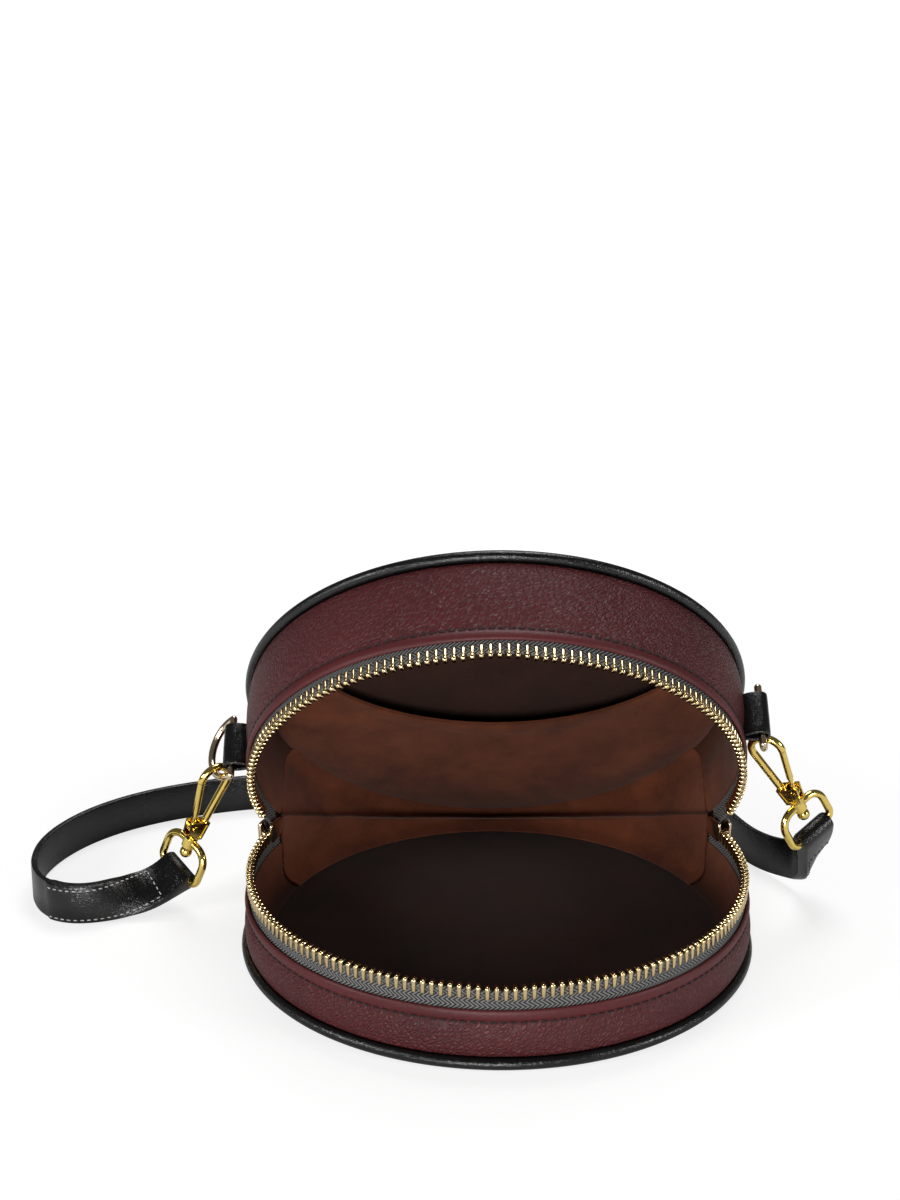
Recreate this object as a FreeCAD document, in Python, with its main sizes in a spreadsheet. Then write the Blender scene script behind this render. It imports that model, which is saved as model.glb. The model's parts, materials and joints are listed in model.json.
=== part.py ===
import FreeCAD
import Part
import math
import os
import re
import Sketcher

# Round zip bag that opens like a clamshell, with a clip-on shoulder strap. Millimetres, +Z up.
# The origin is the middle of the base panel's underside. The mouth faces -Y. The lid stands open
# about a line along X through both ends of the zip.

V = FreeCAD.Vector
UP = V(0, 0, 1)

SIZES = {
    # Round body
    "wall_outer_radius": 93.0,
    "closed_depth": 74.0,
    "split_height": 31.0,
    "hinge_setback": 31.0,
    "open_angle": 53.0,
    "panel_thickness": 1.8,
    "panel_edge_round": 0.8,
    "board_thickness": 1.4,
    "board_clearance": 0.3,
    "wall_thickness": 1.4,
    "wall_overhang": 5.5,
    "lining_thickness": 0.8,
    "piping_diameter": 4.6,
    "piping_proud": 2.0,
    "flange_width": 4.5,
    "flange_thickness": 0.8,
    "seam_clearance": 0.1,
    "lining_seat": 0.3,
    "cut_overrun": 1.0,
    # Zip
    "tape_thickness": 0.8,
    "tape_width": 12.6,
    "tape_edge_gap": 1.4,
    "wall_edge_gap": 7.0,
    "lining_edge_gap": 9.0,
    "tooth_pitch": 3.1,
    "tooth_thickness": 1.35,
    "tooth_length": 4.0,
    "tooth_width": 2.6,
    "tooth_edge_gap": 0.9,
    "tooth_clearance": 0.1,
    "tooth_end_gap": 0.6,
    "lid_row_setback": 6.5,
    # Zip sliders and pulls
    "slider_length": 10.4,
    "slider_head_width": 8.4,
    "slider_tail_width": 6.6,
    "slider_plate": 1.0,
    "slider_clearance": 0.25,
    "slider_lip": 1.0,
    "slider_tape_gap": 0.35,
    "slider_post_length": 3.0,
    "slider_post_thickness": 1.1,
    "crown_width": 2.6,
    "crown_span": 5.4,
    "crown_height": 3.0,
    "crown_wall": 1.0,
    "pull_wire": 1.3,
    "pull_width": 6.0,
    "pull_length": 23.0,
    "pull_eye_length": 5.5,
    "pull_thickness": 1.5,
    "pull_hole": 2.4,
    # Slip pocket inside the lid
    "pocket_gap": 6.5,
    "pocket_thickness": 1.0,
    "pocket_mouth_setback": 4.0,
    "pocket_mouth_radius": 96.0,
    "pocket_clearance": 0.3,
    "pocket_foot_setback": 74.0,
    # Gusset behind the zip ends
    "gusset_gap": 0.4,
    "gusset_seam_rise": 0.9,
    "gusset_crease_setback": 1.2,
    "gusset_layer_gap": 0.7,
    # Strap tabs and rings
    "tab_width": 17.5,
    "tab_leather": 1.6,
    "tab_depth_place": 50.0,
    "tab_stand": 6.2,
    "tab_left_azimuth": 1.0,
    "tab_right_azimuth": -12.0,
    "ring_wire": 2.8,
    "ring_radius": 12.0,
    "ring_clearance": 0.1,
    "ring_left_swing": 45.0,
    "ring_right_swing": 90.0,
    "ring_play": 0.8,
    # Snap hooks
    "hook_wire": 3.0,
    "hook_eye_radius": 6.0,
    "hook_eye_height": 26.5,
    "hook_spine_offset": 2.4,
    "hook_spine_foot": 3.6,
    "hook_nose_angle": -8.0,
    "plate_height": 7.6,
    "plate_foot_width": 6.2,
    "plate_head_width": 8.6,
    "plate_thickness": 4.6,
    "plate_recess": 0.3,
    "plate_rim": 0.9,
    "plate_slot": 3.0,
    "plate_slot_floor": 1.4,
    "gate_wire": 2.6,
    "gate_neck": 2.0,
    "gate_gap": 0.3,
    "gate_pivot_offset": 1.3,
    "gate_pivot_height": 4.3,
    "gate_head": 4.0,
    "rivet_diameter": 1.7,
    "rivet_head": 2.8,
    "rivet_clearance": 0.06,
    "spring_thickness": 0.35,
    "spring_width": 2.2,
    "spring_length": 5.0,
    "post_diameter": 2.6,
    "post_clearance": 0.08,
    "post_gap": 0.2,
    "post_bead": 4.8,
    "boss_diameter": 5.4,
    "boss_length": 4.2,
    "loop_wire": 3.0,
    "loop_inner_width": 17.5,
    "loop_height": 14.2,
    "loop_corner_radius": 3.0,
    "loop_shoulder_radius": 6.0,
    # Shoulder strap
    "strap_width": 15.5,
    "strap_thickness": 2.4,
    "strap_floor_gap": 0.3,
    "strap_clearance": 0.15,
    "strap_left_turn": 2.2,
    "strap_right_turn": 18.0,
}

# Sizes that follow from the driving ones, as formulas of the same sheet.
DERIVED = {
    "lid_height": "closed_depth - split_height",
    "wall_inner_radius": "wall_outer_radius - wall_thickness",
    "tape_outer_radius": "wall_inner_radius - seam_clearance",
    "tape_inner_radius": "tape_outer_radius - tape_thickness",
    "chain_radius": "tape_outer_radius - tape_thickness / 2",
    "lining_outer_radius": "tape_inner_radius - seam_clearance",
    "lining_inner_radius": "lining_outer_radius - lining_thickness",
    "piping_radius": "piping_diameter / 2",
    "piping_ring_radius": "wall_outer_radius + piping_proud - piping_radius",
    "panel_radius": "piping_ring_radius - piping_radius - 2 * seam_clearance",
    "flange_outer_radius": "piping_ring_radius - piping_radius / 2",
    "flange_inner_radius": "piping_ring_radius - piping_radius - flange_width",
    "flange_bottom": "piping_radius - flange_thickness / 2",
    "board_radius": "flange_inner_radius - board_clearance",
    "lining_floor": "panel_thickness + board_thickness + lining_seat",
    "wall_foot": "piping_diameter + seam_clearance",
    "bar_radius": "wall_outer_radius + tab_stand",
    "tab_bore_radius": "ring_wire / 2 + ring_clearance",
    "tab_outer_radius": "tab_bore_radius + tab_leather",
}

# How each strap hook hangs: its lean, the side that its gate is on, and the line of its loop's bar.
HANG_SHARES = {
    "left": {"lean": (-0.37, 0.08, -0.925), "gate": (-0.717, -0.657, 0.23), "bar": (0.64, -0.65, -0.40)},
    "right": {"lean": (0.475, 0.18, -0.86), "gate": (0.783, -0.53, 0.32), "bar": (0.72, 0.48, 0.50)},
}

# Strap route on the floor, from the left loop round behind the bag to the right loop (X, Y).
STRAP_ROUTE = (
    (-137, 21), (-156, 12), (-171, 17), (-179, 34), (-178, 57), (-166, 80), (-146, 98), (-120, 110),
    (-92, 117), (-40, 121), (20, 120), (54, 122), (69, 135), (67, 152), (48, 161), (10, 162), (-28, 161),
    (-52, 165), (-65, 178), (-62, 195), (-44, 204), (-2, 206), (38, 204), (64, 192), (77, 170), (84, 140),
    (89, 108), (96, 78), (107, 54),
)
# The runs of that route, counted from its start, in whose middle one piece meets the next.
STRAP_JOINTS = (9, 25)
# How much of the shorter run beside a corner of the route its bend takes.
BEND_SHARE = 0.45
FOLD_STEPS = 4
GUSSET_STATIONS = 16
# How much of a gusset flank its lining leaves bare at the seam.
GUSSET_HEM_SHARE = 0.2

doc = FreeCAD.newDocument("circle_bag")
sheet = doc.addObject("Spreadsheet::Sheet", "Sizes")
for row, (alias, value) in enumerate(SIZES.items(), 1):
    sheet.set(f"A{row}", alias)
    sheet.set(f"B{row}", str(value))
    sheet.setAlias(f"B{row}", alias)
for row, (alias, formula) in enumerate(DERIVED.items(), 1):
    sheet.set(f"D{row}", alias)
    sheet.set(f"E{row}", "=" + formula)
    sheet.setAlias(f"E{row}", alias)
doc.recompute()

parts = {}


SIDES = {"left": -1, "right": 1}


def size(alias):
    """The value of a cell of the sheet."""
    return float(sheet.get(alias))


def bound(text):
    """An expression on the sheet's aliases, with the sheet's name before each."""
    return re.sub(r"[a-z]\w*_\w+", lambda word: "Sizes." + word.group(), text)


def add(kind, name, **expressions):
    """A document object with its properties bound to the sheet."""
    item = doc.addObject(kind, name)
    for prop, text in expressions.items():
        item.setExpression(prop, bound(text))
    return item


def keep(label, item, placement=None):
    """Names an object as a finished piece and puts it in its place."""
    item.Label = label
    doc.recompute()
    if placement is not None:
        item.Placement = placement
    parts[label] = item
    return item


def shaped(label, shape, placement=None):
    """A finished piece whose shape is made in code."""
    item = doc.addObject("Part::Feature", label)
    item.Shape = shape
    return keep(label, item, placement)


def moved(x=0.0, y=0.0, z=0.0):
    return FreeCAD.Placement(V(x, y, z), FreeCAD.Rotation())


def turned(axis, angle, centre=V(0, 0, 0)):
    return FreeCAD.Placement(V(0, 0, 0), FreeCAD.Rotation(axis, angle), centre)


def aligned(origin, x_axis, z_axis):
    """The placement whose X and Z axes point along two square directions."""
    return FreeCAD.Placement(origin, FreeCAD.Rotation(x_axis, z_axis.cross(x_axis), z_axis, "ZXY"))


def square_to(vector, axis):
    """The part of a direction that is square to an axis, as a unit vector."""
    across = vector - axis * vector.dot(axis)
    return across / across.Length


def unit(shares):
    return V(*shares) / V(*shares).Length


def round_disc(name, radius, thickness, z="0", angle="360 deg"):
    """A disc or sector bound to the sheet, standing at height z."""
    disc = add("Part::Cylinder", name, Radius=radius, Height=thickness, Angle=angle)
    disc.setExpression("Placement.Base.z", f"({bound(z)}) * 1 mm")
    return disc


def joined(kind, name, base, tool):
    item = doc.addObject(kind, name)
    item.Base = base
    item.Tool = tool
    return item


def band(name, outer, inner, foot, top, angle="360 deg"):
    """A thin round wall between two radii and two heights."""
    solid = round_disc(name + "_outside", outer, f"({top}) - ({foot})", foot, angle)
    tall = f"({top}) - ({foot}) + 2 * cut_overrun"
    core = round_disc(name + "_core", inner, tall, f"({foot}) - cut_overrun")
    return joined("Part::Cut", name + "_band", solid, core)


def padded_disc(label, radius, thickness, placement, edge_round=None):
    """A round panel as a padded sketch, with its outer rim edge rounded if asked."""
    body = doc.addObject("PartDesign::Body", label + "_body")
    sketch = body.newObject("Sketcher::SketchObject", label + "_outline")
    plane = next(item for item in body.Origin.OriginFeatures if item.Role == "XY_Plane")
    sketch.AttachmentSupport = [(plane, "")]
    sketch.MapMode = "FlatFace"
    sketch.addGeometry(Part.Circle(V(0, 0, 0), UP, size(radius)), False)
    sketch.addConstraint(Sketcher.Constraint("Coincident", 0, 3, -1, 1))
    limit = sketch.addConstraint(Sketcher.Constraint("Radius", 0, size(radius)))
    sketch.setExpression(f"Constraints[{limit}]", bound(radius))
    pad = body.newObject("PartDesign::Pad", label + "_pad")
    pad.Profile = sketch
    pad.setExpression("Length", bound(thickness))
    doc.recompute()
    if edge_round:
        rims = [
            f"Edge{number}"
            for number, edge in enumerate(pad.Shape.Edges, 1)
            if isinstance(edge.Curve, Part.Circle) and abs(edge.BoundBox.ZMax) < size(edge_round)
        ]
        fillet = body.newObject("PartDesign::Fillet", label + "_rim")
        fillet.Base = (pad, rims)
        fillet.setExpression("Radius", bound(edge_round))
    return keep(label, body, placement)


zip_end = math.degrees(math.asin(size("hinge_setback") / size("chain_radius")))
hinge_centre = V(0, size("hinge_setback"), size("split_height"))
LID_OPEN = turned(V(-1, 0, 0), size("open_angle"), hinge_centre)
# Each half is modelled from its panel towards the zip. The lid's half is turned over about Y.
LID_HALF = LID_OPEN * moved(z=size("closed_depth")) * turned(V(0, 1, 0), 180)
HALVES = {
    "base": (FreeCAD.Placement(), "split_height", 0.0),
    "lid": (LID_HALF, "lid_height", size("lid_row_setback")),
}


def arc_span(overhang):
    """The angle of an arc that is centred on the mouth and ends overhang past the hinge line."""
    return f"2 * (90 deg + asin((hinge_setback + ({overhang})) / chain_radius))"


def arc_start(overhang):
    """The turn about Z that centres such an arc on the mouth."""
    behind = (size("hinge_setback") + overhang) / size("chain_radius")
    return turned(UP, 180 - math.degrees(math.asin(behind)))


def make_piping(label, placement):
    """A round welt on a sewn flange."""
    welt = add("Part::Torus", label + "_welt", Radius1="piping_ring_radius", Radius2="piping_radius")
    welt.setExpression("Placement.Base.z", bound("piping_radius") + " * 1 mm")
    flange = band(label + "_flange", "flange_outer_radius", "flange_inner_radius", "flange_bottom",
                  "flange_bottom + flange_thickness")
    keep(label, joined("Part::Fuse", label + "_fuse", welt, flange), placement)


def make_half(name):
    """The panel, board, piping, wall, lining and zip tape of one half."""
    placement, height, setback = HALVES[name]
    padded_disc(f"{name}_panel", "panel_radius", "panel_thickness", placement, "panel_edge_round")
    padded_disc(f"{name}_stiffener", "board_radius", "board_thickness",
                placement * moved(z=size("panel_thickness")))
    make_piping(f"{name}_piping", placement)
    wall = band(f"{name}_wall", "wall_outer_radius", "wall_inner_radius", "wall_foot",
                f"{height} - wall_edge_gap", arc_span("wall_overhang"))
    keep(f"{name}_wall", wall, placement * arc_start(size("wall_overhang")))
    floor = round_disc(f"{name}_lining_floor", "lining_outer_radius", "lining_thickness", "lining_floor")
    side = band(f"{name}_lining_side", "lining_outer_radius", "lining_inner_radius", "lining_floor",
                f"{height} - lining_edge_gap", arc_span("wall_overhang"))
    keep(f"{name}_lining", joined("Part::Fuse", f"{name}_lining_cup", floor, side),
         placement * arc_start(size("wall_overhang")))
    reach = "0" if name == "base" else "-lid_row_setback"
    tape = band(f"{name}_zip_tape", "tape_outer_radius", "tape_inner_radius",
                f"{height} - tape_edge_gap - tape_width", f"{height} - tape_edge_gap", arc_span(reach))
    keep(f"{name}_zip_tape", tape, placement * arc_start(-setback))
    shaped(f"{name}_zip_teeth", tooth_row(size(height), setback), placement)


def tooth_row(height, setback):
    """Separate zip teeth, each a clip that straddles the tape's edge."""
    half = size("tooth_width") / 2
    slot = size("tape_thickness") / 2 + size("tooth_clearance")
    top = height - size("tooth_edge_gap")
    foot = top - size("tooth_length")
    roof = height - size("tape_edge_gap") + size("tooth_clearance")
    outline = [(-half, foot), (-half, top), (half, top), (half, foot),
               (slot, foot), (slot, roof), (-slot, roof), (-slot, foot)]
    corners = [V(0, size("chain_radius") + across, up) for across, up in outline]
    face = Part.Face(Part.makePolygon(corners + corners[:1]))
    tooth = face.extrude(V(size("tooth_thickness"), 0, 0))
    tooth.translate(V(-size("tooth_thickness") / 2, 0, 0))
    reach = math.asin((size("hinge_setback") - setback - size("tooth_end_gap")) / size("chain_radius"))
    span = math.pi + 2 * reach - size("tooth_thickness") / size("chain_radius")
    count = int(span * size("chain_radius") / size("tooth_pitch"))
    step = math.degrees(span) / count
    teeth = []
    for number in range(count + 1):
        copy = tooth.copy()
        copy.rotate(V(0, 0, 0), UP, 180 + (number - count / 2) * step)
        teeth.append(copy)
    return Part.makeCompound(teeth)


def prism_solid(rows):
    """A closed solid whose skin joins rows of points, with flat triangles between them."""
    faces = []

    def triangle(a, b, c):
        faces.append(Part.Face(Part.makePolygon([a, b, c, a])))

    count = len(rows[0])
    for near, far in zip(rows, rows[1:]):
        for corner in range(count):
            after = (corner + 1) % count
            triangle(near[corner], near[after], far[after])
            triangle(near[corner], far[after], far[corner])
    for row in (rows[0], rows[-1]):
        for low in range(count // 2 - 1):
            high = count - 1 - low
            triangle(row[low], row[low + 1], row[high - 1])
            triangle(row[low], row[high - 1], row[high])
    solid = Part.Solid(Part.Shell(faces))
    if solid.Volume < 0:
        solid.reverse()
    return solid


def gusset_grid():
    """Points of the leather behind the zip ends: its base seam, crease and lid seam at each station."""
    foot = size("wall_foot") + size("gusset_seam_rise")
    head = size("closed_depth") - foot
    radius = size("wall_outer_radius") - size("wall_thickness") / 2
    reach = size("hinge_setback") + size("wall_overhang") + size("gusset_gap")
    start = math.asin(reach / size("chain_radius"))
    half_open = turned(V(-1, 0, 0), size("open_angle") / 2, hinge_centre)
    grid = []
    for number in range(GUSSET_STATIONS + 1):
        share = number / GUSSET_STATIONS
        azimuth = start + (math.pi - 2 * start) * share
        out = V(radius * math.cos(azimuth), radius * math.sin(azimuth), 0)
        low = out + V(0, 0, foot)
        high = LID_OPEN.multVec(out + V(0, 0, head))
        crease = half_open.multVec(out + V(0, size("gusset_crease_setback"), size("split_height")))
        side_share = (2 * share - 1) ** 2
        grid.append([low, crease * side_share + (low + high) / 2 * (1 - side_share), high])
    return grid


def inward_normal(grid, row, column):
    """The direction into the bag at a point of the grid."""
    along = grid[min(row + 1, len(grid) - 1)][column] - grid[max(row - 1, 0)][column]
    last = len(grid[row]) - 1
    up = grid[row][min(column + 1, last)] - grid[row][max(column - 1, 0)]
    normal = up.cross(along)
    return normal / normal.Length


def make_gusset(label, outside, thickness, hem_share):
    """A sheet between the two rear rims, its outside at a depth inwards of the leather's middle."""
    grid = gusset_grid()
    rows = []
    for number, (low, crease, high) in enumerate(grid):
        points = [low + (crease - low) * hem_share, crease, high + (crease - high) * hem_share]
        normals = [inward_normal(grid, number, column) for column in range(len(points))]
        outer = [point + normal * outside for point, normal in zip(points, normals)]
        inner = [point + normal * thickness for point, normal in zip(outer, normals)]
        rows.append(outer + inner[::-1])
    shaped(label, prism_solid(rows))


def make_pocket():
    """The slip pocket's front sheet, parallel to the lid's panel, with its mouth dipping in the middle."""
    z = "lining_floor + lining_thickness + pocket_gap"
    sheet_disc = round_disc("pocket_disc", "lining_inner_radius - pocket_clearance", "pocket_thickness", z)
    cut_depth = "pocket_thickness + 2 * cut_overrun"
    mouth = round_disc("pocket_mouth", "pocket_mouth_radius", cut_depth, f"{z} - cut_overrun")
    setback = bound("pocket_mouth_setback - pocket_mouth_radius")
    mouth.setExpression("Placement.Base.y", f"({setback}) * 1 mm")
    foot = add("Part::Box", "pocket_foot", Length="2 * wall_outer_radius", Width="wall_outer_radius",
               Height=cut_depth)
    corner = {"x": "-wall_outer_radius", "y": "pocket_foot_setback", "z": f"{z} - cut_overrun"}
    for axis, text in corner.items():
        foot.setExpression(f"Placement.Base.{axis}", f"({bound(text)}) * 1 mm")
    opened = joined("Part::Cut", "pocket_open", sheet_disc, mouth)
    keep("slip_pocket", joined("Part::Cut", "pocket_cut", opened, foot), LID_HALF)


def side_frame(side):
    """The place of a strap ring's bar on the closed bag: X outwards and Z along the bag's depth."""
    sign = SIDES[side]
    out = FreeCAD.Rotation(UP, sign * size(f"tab_{side}_azimuth")).multVec(V(sign, 0, 0))
    place = out * size("bar_radius") + V(0, 0, size("tab_depth_place"))
    return aligned(place, out, UP)


def make_tab(side):
    """A leather loop round the ring's bar, with both tails sewn to the wall."""
    width = "tab_width"
    tails = {}
    for name, radius in (("outside", "tab_outer_radius"), ("bore", "tab_bore_radius")):
        overrun = "" if name == "outside" else " + 2 * cut_overrun"
        head = add("Part::Cylinder", f"tab_{side}_{name}_head", Radius=radius, Height=width + overrun)
        tail = add("Part::Box", f"tab_{side}_{name}_tail", Width=f"2 * {radius}", Height=width + overrun)
        shift = "seam_clearance" if name == "outside" else "-cut_overrun"
        tail.setExpression("Length", bound(f"tab_stand - ({shift})"))
        doc.recompute()
        lift = 0.0 if name == "outside" else -size("cut_overrun")
        inset = size("seam_clearance") if name == "outside" else -size("cut_overrun")
        tail.Placement = moved(inset - size("tab_stand"), -size(radius), lift)
        head.Placement = moved(z=lift)
        tails[name] = joined("Part::Fuse", f"tab_{side}_{name}", head, tail)
    loop = joined("Part::Cut", f"tab_{side}_loop", tails["outside"], tails["bore"])
    keep(f"tab_{side}", loop, LID_OPEN * side_frame(side) * moved(z=-size("tab_width") / 2))


def ring_frame(side):
    """The ring's own place: X out of its bar through its bow, Z along its bar."""
    return LID_OPEN * side_frame(side) * turned(UP, SIDES[side] * size(f"ring_{side}_swing"))


def make_ring(side):
    """A D-ring: a straight bar closed by a half-round bow."""
    bow = add("Part::Torus", f"ring_{side}_bow", Radius1="ring_radius", Radius2="ring_wire / 2",
              Angle3="180 deg")
    bar = add("Part::Cylinder", f"ring_{side}_bar", Radius="ring_wire / 2", Height="2 * ring_radius")
    ends = [add("Part::Sphere", f"ring_{side}_end_{n}", Radius="ring_wire / 2") for n in range(2)]
    doc.recompute()
    bow.Placement = turned(V(1, 0, 0), 90) * turned(UP, -90)
    bar.Placement = moved(z=-size("ring_radius"))
    ends[0].Placement = moved(z=-size("ring_radius"))
    ends[1].Placement = moved(z=size("ring_radius"))
    ring = doc.addObject("Part::MultiFuse", f"ring_{side}_fuse")
    ring.Shapes = [bow, bar] + ends
    keep(f"ring_{side}", ring, ring_frame(side))


def hook_axes(side):
    """The hook's foot, its gate side and its axis towards the eye, hung from the ring's lowest point."""
    frame = ring_frame(side)
    out = frame.Rotation.multVec(V(1, 0, 0))
    along = frame.Rotation.multVec(UP)
    lowest = (out * out.z + along * along.z) * -1
    contact = frame.Base + lowest / lowest.Length * size("ring_radius")
    axis = unit(HANG_SHARES[side]["lean"]) * -1
    gate = square_to(unit(HANG_SHARES[side]["gate"]), axis)
    return contact - axis * eye_seat(), gate, axis


def eye_seat():
    """The height over the hook's foot at which the ring's wire lies in the eye."""
    room = size("hook_eye_radius") - size("hook_wire") / 2 - size("ring_wire") / 2
    return size("hook_eye_height") + room - size("ring_play")


def rod(edges, radius):
    """A round rod along a path of lines and arcs."""
    path = Part.Wire(edges)
    start = path.Edges[0]
    tangent = start.tangentAt(start.FirstParameter)
    ring = Part.Wire(Part.makeCircle(radius, start.valueAt(start.FirstParameter), tangent))
    return path.makePipeShell([ring], True, False)


def polar(centre, radius, degrees):
    """A point of a circle in the XZ plane."""
    return centre + V(radius * math.cos(math.radians(degrees)), 0, radius * math.sin(math.radians(degrees)))


def trapezoid(foot_width, head_width, foot, head, thickness):
    """A plate in the XZ plane that widens upwards, centred on Y."""
    corners = [V(-foot_width / 2, 0, foot), V(foot_width / 2, 0, foot),
               V(head_width / 2, 0, head), V(-head_width / 2, 0, head)]
    plate = Part.Face(Part.makePolygon(corners + corners[:1])).extrude(V(0, thickness, 0))
    plate.translate(V(0, -thickness / 2, 0))
    return plate


def gate_pivot():
    return V(size("gate_pivot_offset"), 0, size("gate_pivot_height"))


def hook_solid():
    """The snap hook's bow, spine and slotted plate, in its own axes."""
    centre = V(0, 0, size("hook_eye_height"))
    radius = size("hook_eye_radius")
    foot = V(-size("hook_spine_offset"), 0, size("hook_spine_foot"))
    away = foot - centre
    turn = math.degrees(math.acos(radius / away.Length))
    tangent = math.degrees(math.atan2(away.z, away.x)) % 360 - turn
    nose = size("hook_nose_angle")
    bow = Part.Arc(polar(centre, radius, tangent), polar(centre, radius, (tangent + nose) / 2),
                   polar(centre, radius, nose)).toShape()
    spine = Part.LineSegment(foot, polar(centre, radius, tangent)).toShape()
    thick = size("plate_thickness")
    height = size("plate_height")
    plate = trapezoid(size("plate_foot_width"), size("plate_head_width"), 0, height, thick)
    rim = size("plate_rim")
    for face in (-1, 1):
        recess = trapezoid(size("plate_foot_width") - 2 * rim, size("plate_head_width") - 2 * rim, rim,
                           height - rim, 2 * size("plate_recess"))
        recess.translate(V(0, face * thick / 2, 0))
        plate = plate.cut(recess)
    body = plate.fuse(rod([spine, bow], size("hook_wire") / 2))
    # Slot for the gate's head, open at the top and on the gate's side.
    slot_left = size("gate_pivot_offset") - size("gate_head") / 2 - size("gate_gap")
    floor = size("plate_slot_floor")
    slot = Part.makeBox(size("plate_head_width"), size("plate_slot"), height - floor + size("cut_overrun"),
                        V(slot_left, -size("plate_slot") / 2, floor))
    bore = Part.makeCylinder(size("rivet_diameter") / 2 + size("rivet_clearance"), 2 * thick,
                             gate_pivot() - V(0, thick, 0), V(0, 1, 0))
    return body.cut(slot).cut(bore).removeSplitter()


def gate_solid():
    """The sprung gate: a rod from the hook's nose to a round head on the rivet."""
    centre = V(0, 0, size("hook_eye_height"))
    nose = polar(centre, size("hook_eye_radius"), size("hook_nose_angle"))
    pivot = gate_pivot()
    along = (nose - pivot) / (nose - pivot).Length
    length = (nose - pivot).Length - size("gate_gap")
    wide = size("plate_slot") - 2 * size("gate_gap")
    head = Part.makeCylinder(size("gate_head") / 2, wide, pivot - V(0, wide / 2, 0), V(0, 1, 0))
    bar = Part.makeCylinder(size("gate_neck") / 2, size("plate_height"), pivot, along)
    stem = Part.makeCylinder(size("gate_wire") / 2, length - size("plate_height"),
                             pivot + along * size("plate_height"), along)
    bore = Part.makeCylinder(size("rivet_diameter") / 2 + size("rivet_clearance"), 2 * wide,
                             pivot - V(0, wide, 0), V(0, 1, 0))
    return head.fuse(bar).fuse(stem).cut(bore).removeSplitter()


def rivet_solid():
    """The gate's rivet, with a low head in each recess of the plate."""
    thick = size("plate_thickness")
    recess = size("plate_recess")
    inner = thick / 2 - recess
    foot = gate_pivot() - V(0, thick / 2, 0)
    shank = Part.makeCylinder(size("rivet_diameter") / 2, thick, foot, V(0, 1, 0))
    for face in (-1, 1):
        head = Part.makeCylinder(size("rivet_head") / 2, recess, gate_pivot() + V(0, face * inner, 0),
                                 V(0, face, 0))
        shank = shank.fuse(head)
    return shank.removeSplitter()


def spring_solid():
    """The leaf spring on the slot's floor, under the gate's head."""
    gap = size("seam_clearance")
    left = size("gate_pivot_offset") - size("gate_head") / 2
    foot = size("plate_slot_floor") + gap
    leaf = Part.makeBox(size("spring_length"), size("spring_width"), size("spring_thickness"),
                        V(left, -size("spring_width") / 2, foot))
    return leaf


def post_solid():
    """The swivel post under the plate, with its bead inside the loop."""
    bead = size("post_bead") / 2
    reach = size("boss_length") + 2 * size("post_gap")
    neck = Part.makeCylinder(size("post_diameter") / 2, reach + bead, V(0, 0, -reach - bead), UP)
    ball = Part.makeSphere(bead, V(0, 0, -reach - bead))
    return neck.fuse(ball).removeSplitter()


def loop_solid():
    """The swivel's strap loop: a rounded frame of wire under a bored boss."""
    half = (size("loop_inner_width") + size("loop_wire")) / 2
    top = -size("post_gap") - size("boss_length") / 2
    low = top - size("loop_height")
    foot, shoulder = size("loop_corner_radius"), size("loop_shoulder_radius")
    bends = []
    for across, up, turn in ((1, low, foot), (1, top, shoulder), (-1, top, shoulder), (-1, low, foot)):
        inward = -1 if up == top else 1
        centre = V(across * (half - turn), 0, up + inward * turn)
        sideways = centre + V(across * turn, 0, 0)
        upright = centre - V(0, 0, inward * turn)
        middle = centre + unit((across, 0, -inward)) * turn
        ends = (sideways, middle, upright) if across * inward < 0 else (upright, middle, sideways)
        bends.append(ends)
    edges = []
    for number, bend in enumerate(bends):
        edges.append(Part.Arc(*bend).toShape())
        edges.append(Part.LineSegment(bend[-1], bends[(number + 1) % len(bends)][0]).toShape())
    frame = rod(edges, size("loop_wire") / 2)
    boss = Part.makeCylinder(size("boss_diameter") / 2, size("boss_length"),
                             V(0, 0, -size("post_gap") - size("boss_length")), UP)
    bore = Part.makeCylinder(size("post_diameter") / 2 + size("post_clearance"), 2 * size("boss_length"),
                             V(0, 0, -2 * size("boss_length")), UP)
    return frame.fuse(boss).cut(bore).removeSplitter()


def loop_frame(side):
    foot, gate, axis = hook_axes(side)
    return aligned(foot, square_to(unit(HANG_SHARES[side]["bar"]), axis), axis)


def make_hook(side):
    """One snap hook with its gate, rivet, spring, swivel post and strap loop."""
    foot, gate, axis = hook_axes(side)
    place = aligned(foot, gate, axis)
    shaped(f"hook_{side}", hook_solid(), place)
    shaped(f"hook_gate_{side}", gate_solid(), place)
    shaped(f"gate_rivet_{side}", rivet_solid(), place)
    shaped(f"gate_spring_{side}", spring_solid(), place)
    shaped(f"swivel_post_{side}", post_solid(), place)
    shaped(f"swivel_loop_{side}", loop_solid(), loop_frame(side))


def slider_frame(side):
    """The slider's place at its end of the zip: Y outwards, Z up."""
    azimuth = math.radians(zip_end if side == "right" else 180 - zip_end)
    out = V(math.cos(azimuth), math.sin(azimuth), 0)
    return aligned(out * size("chain_radius") + V(0, 0, size("split_height")), out.cross(UP), UP)


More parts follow.
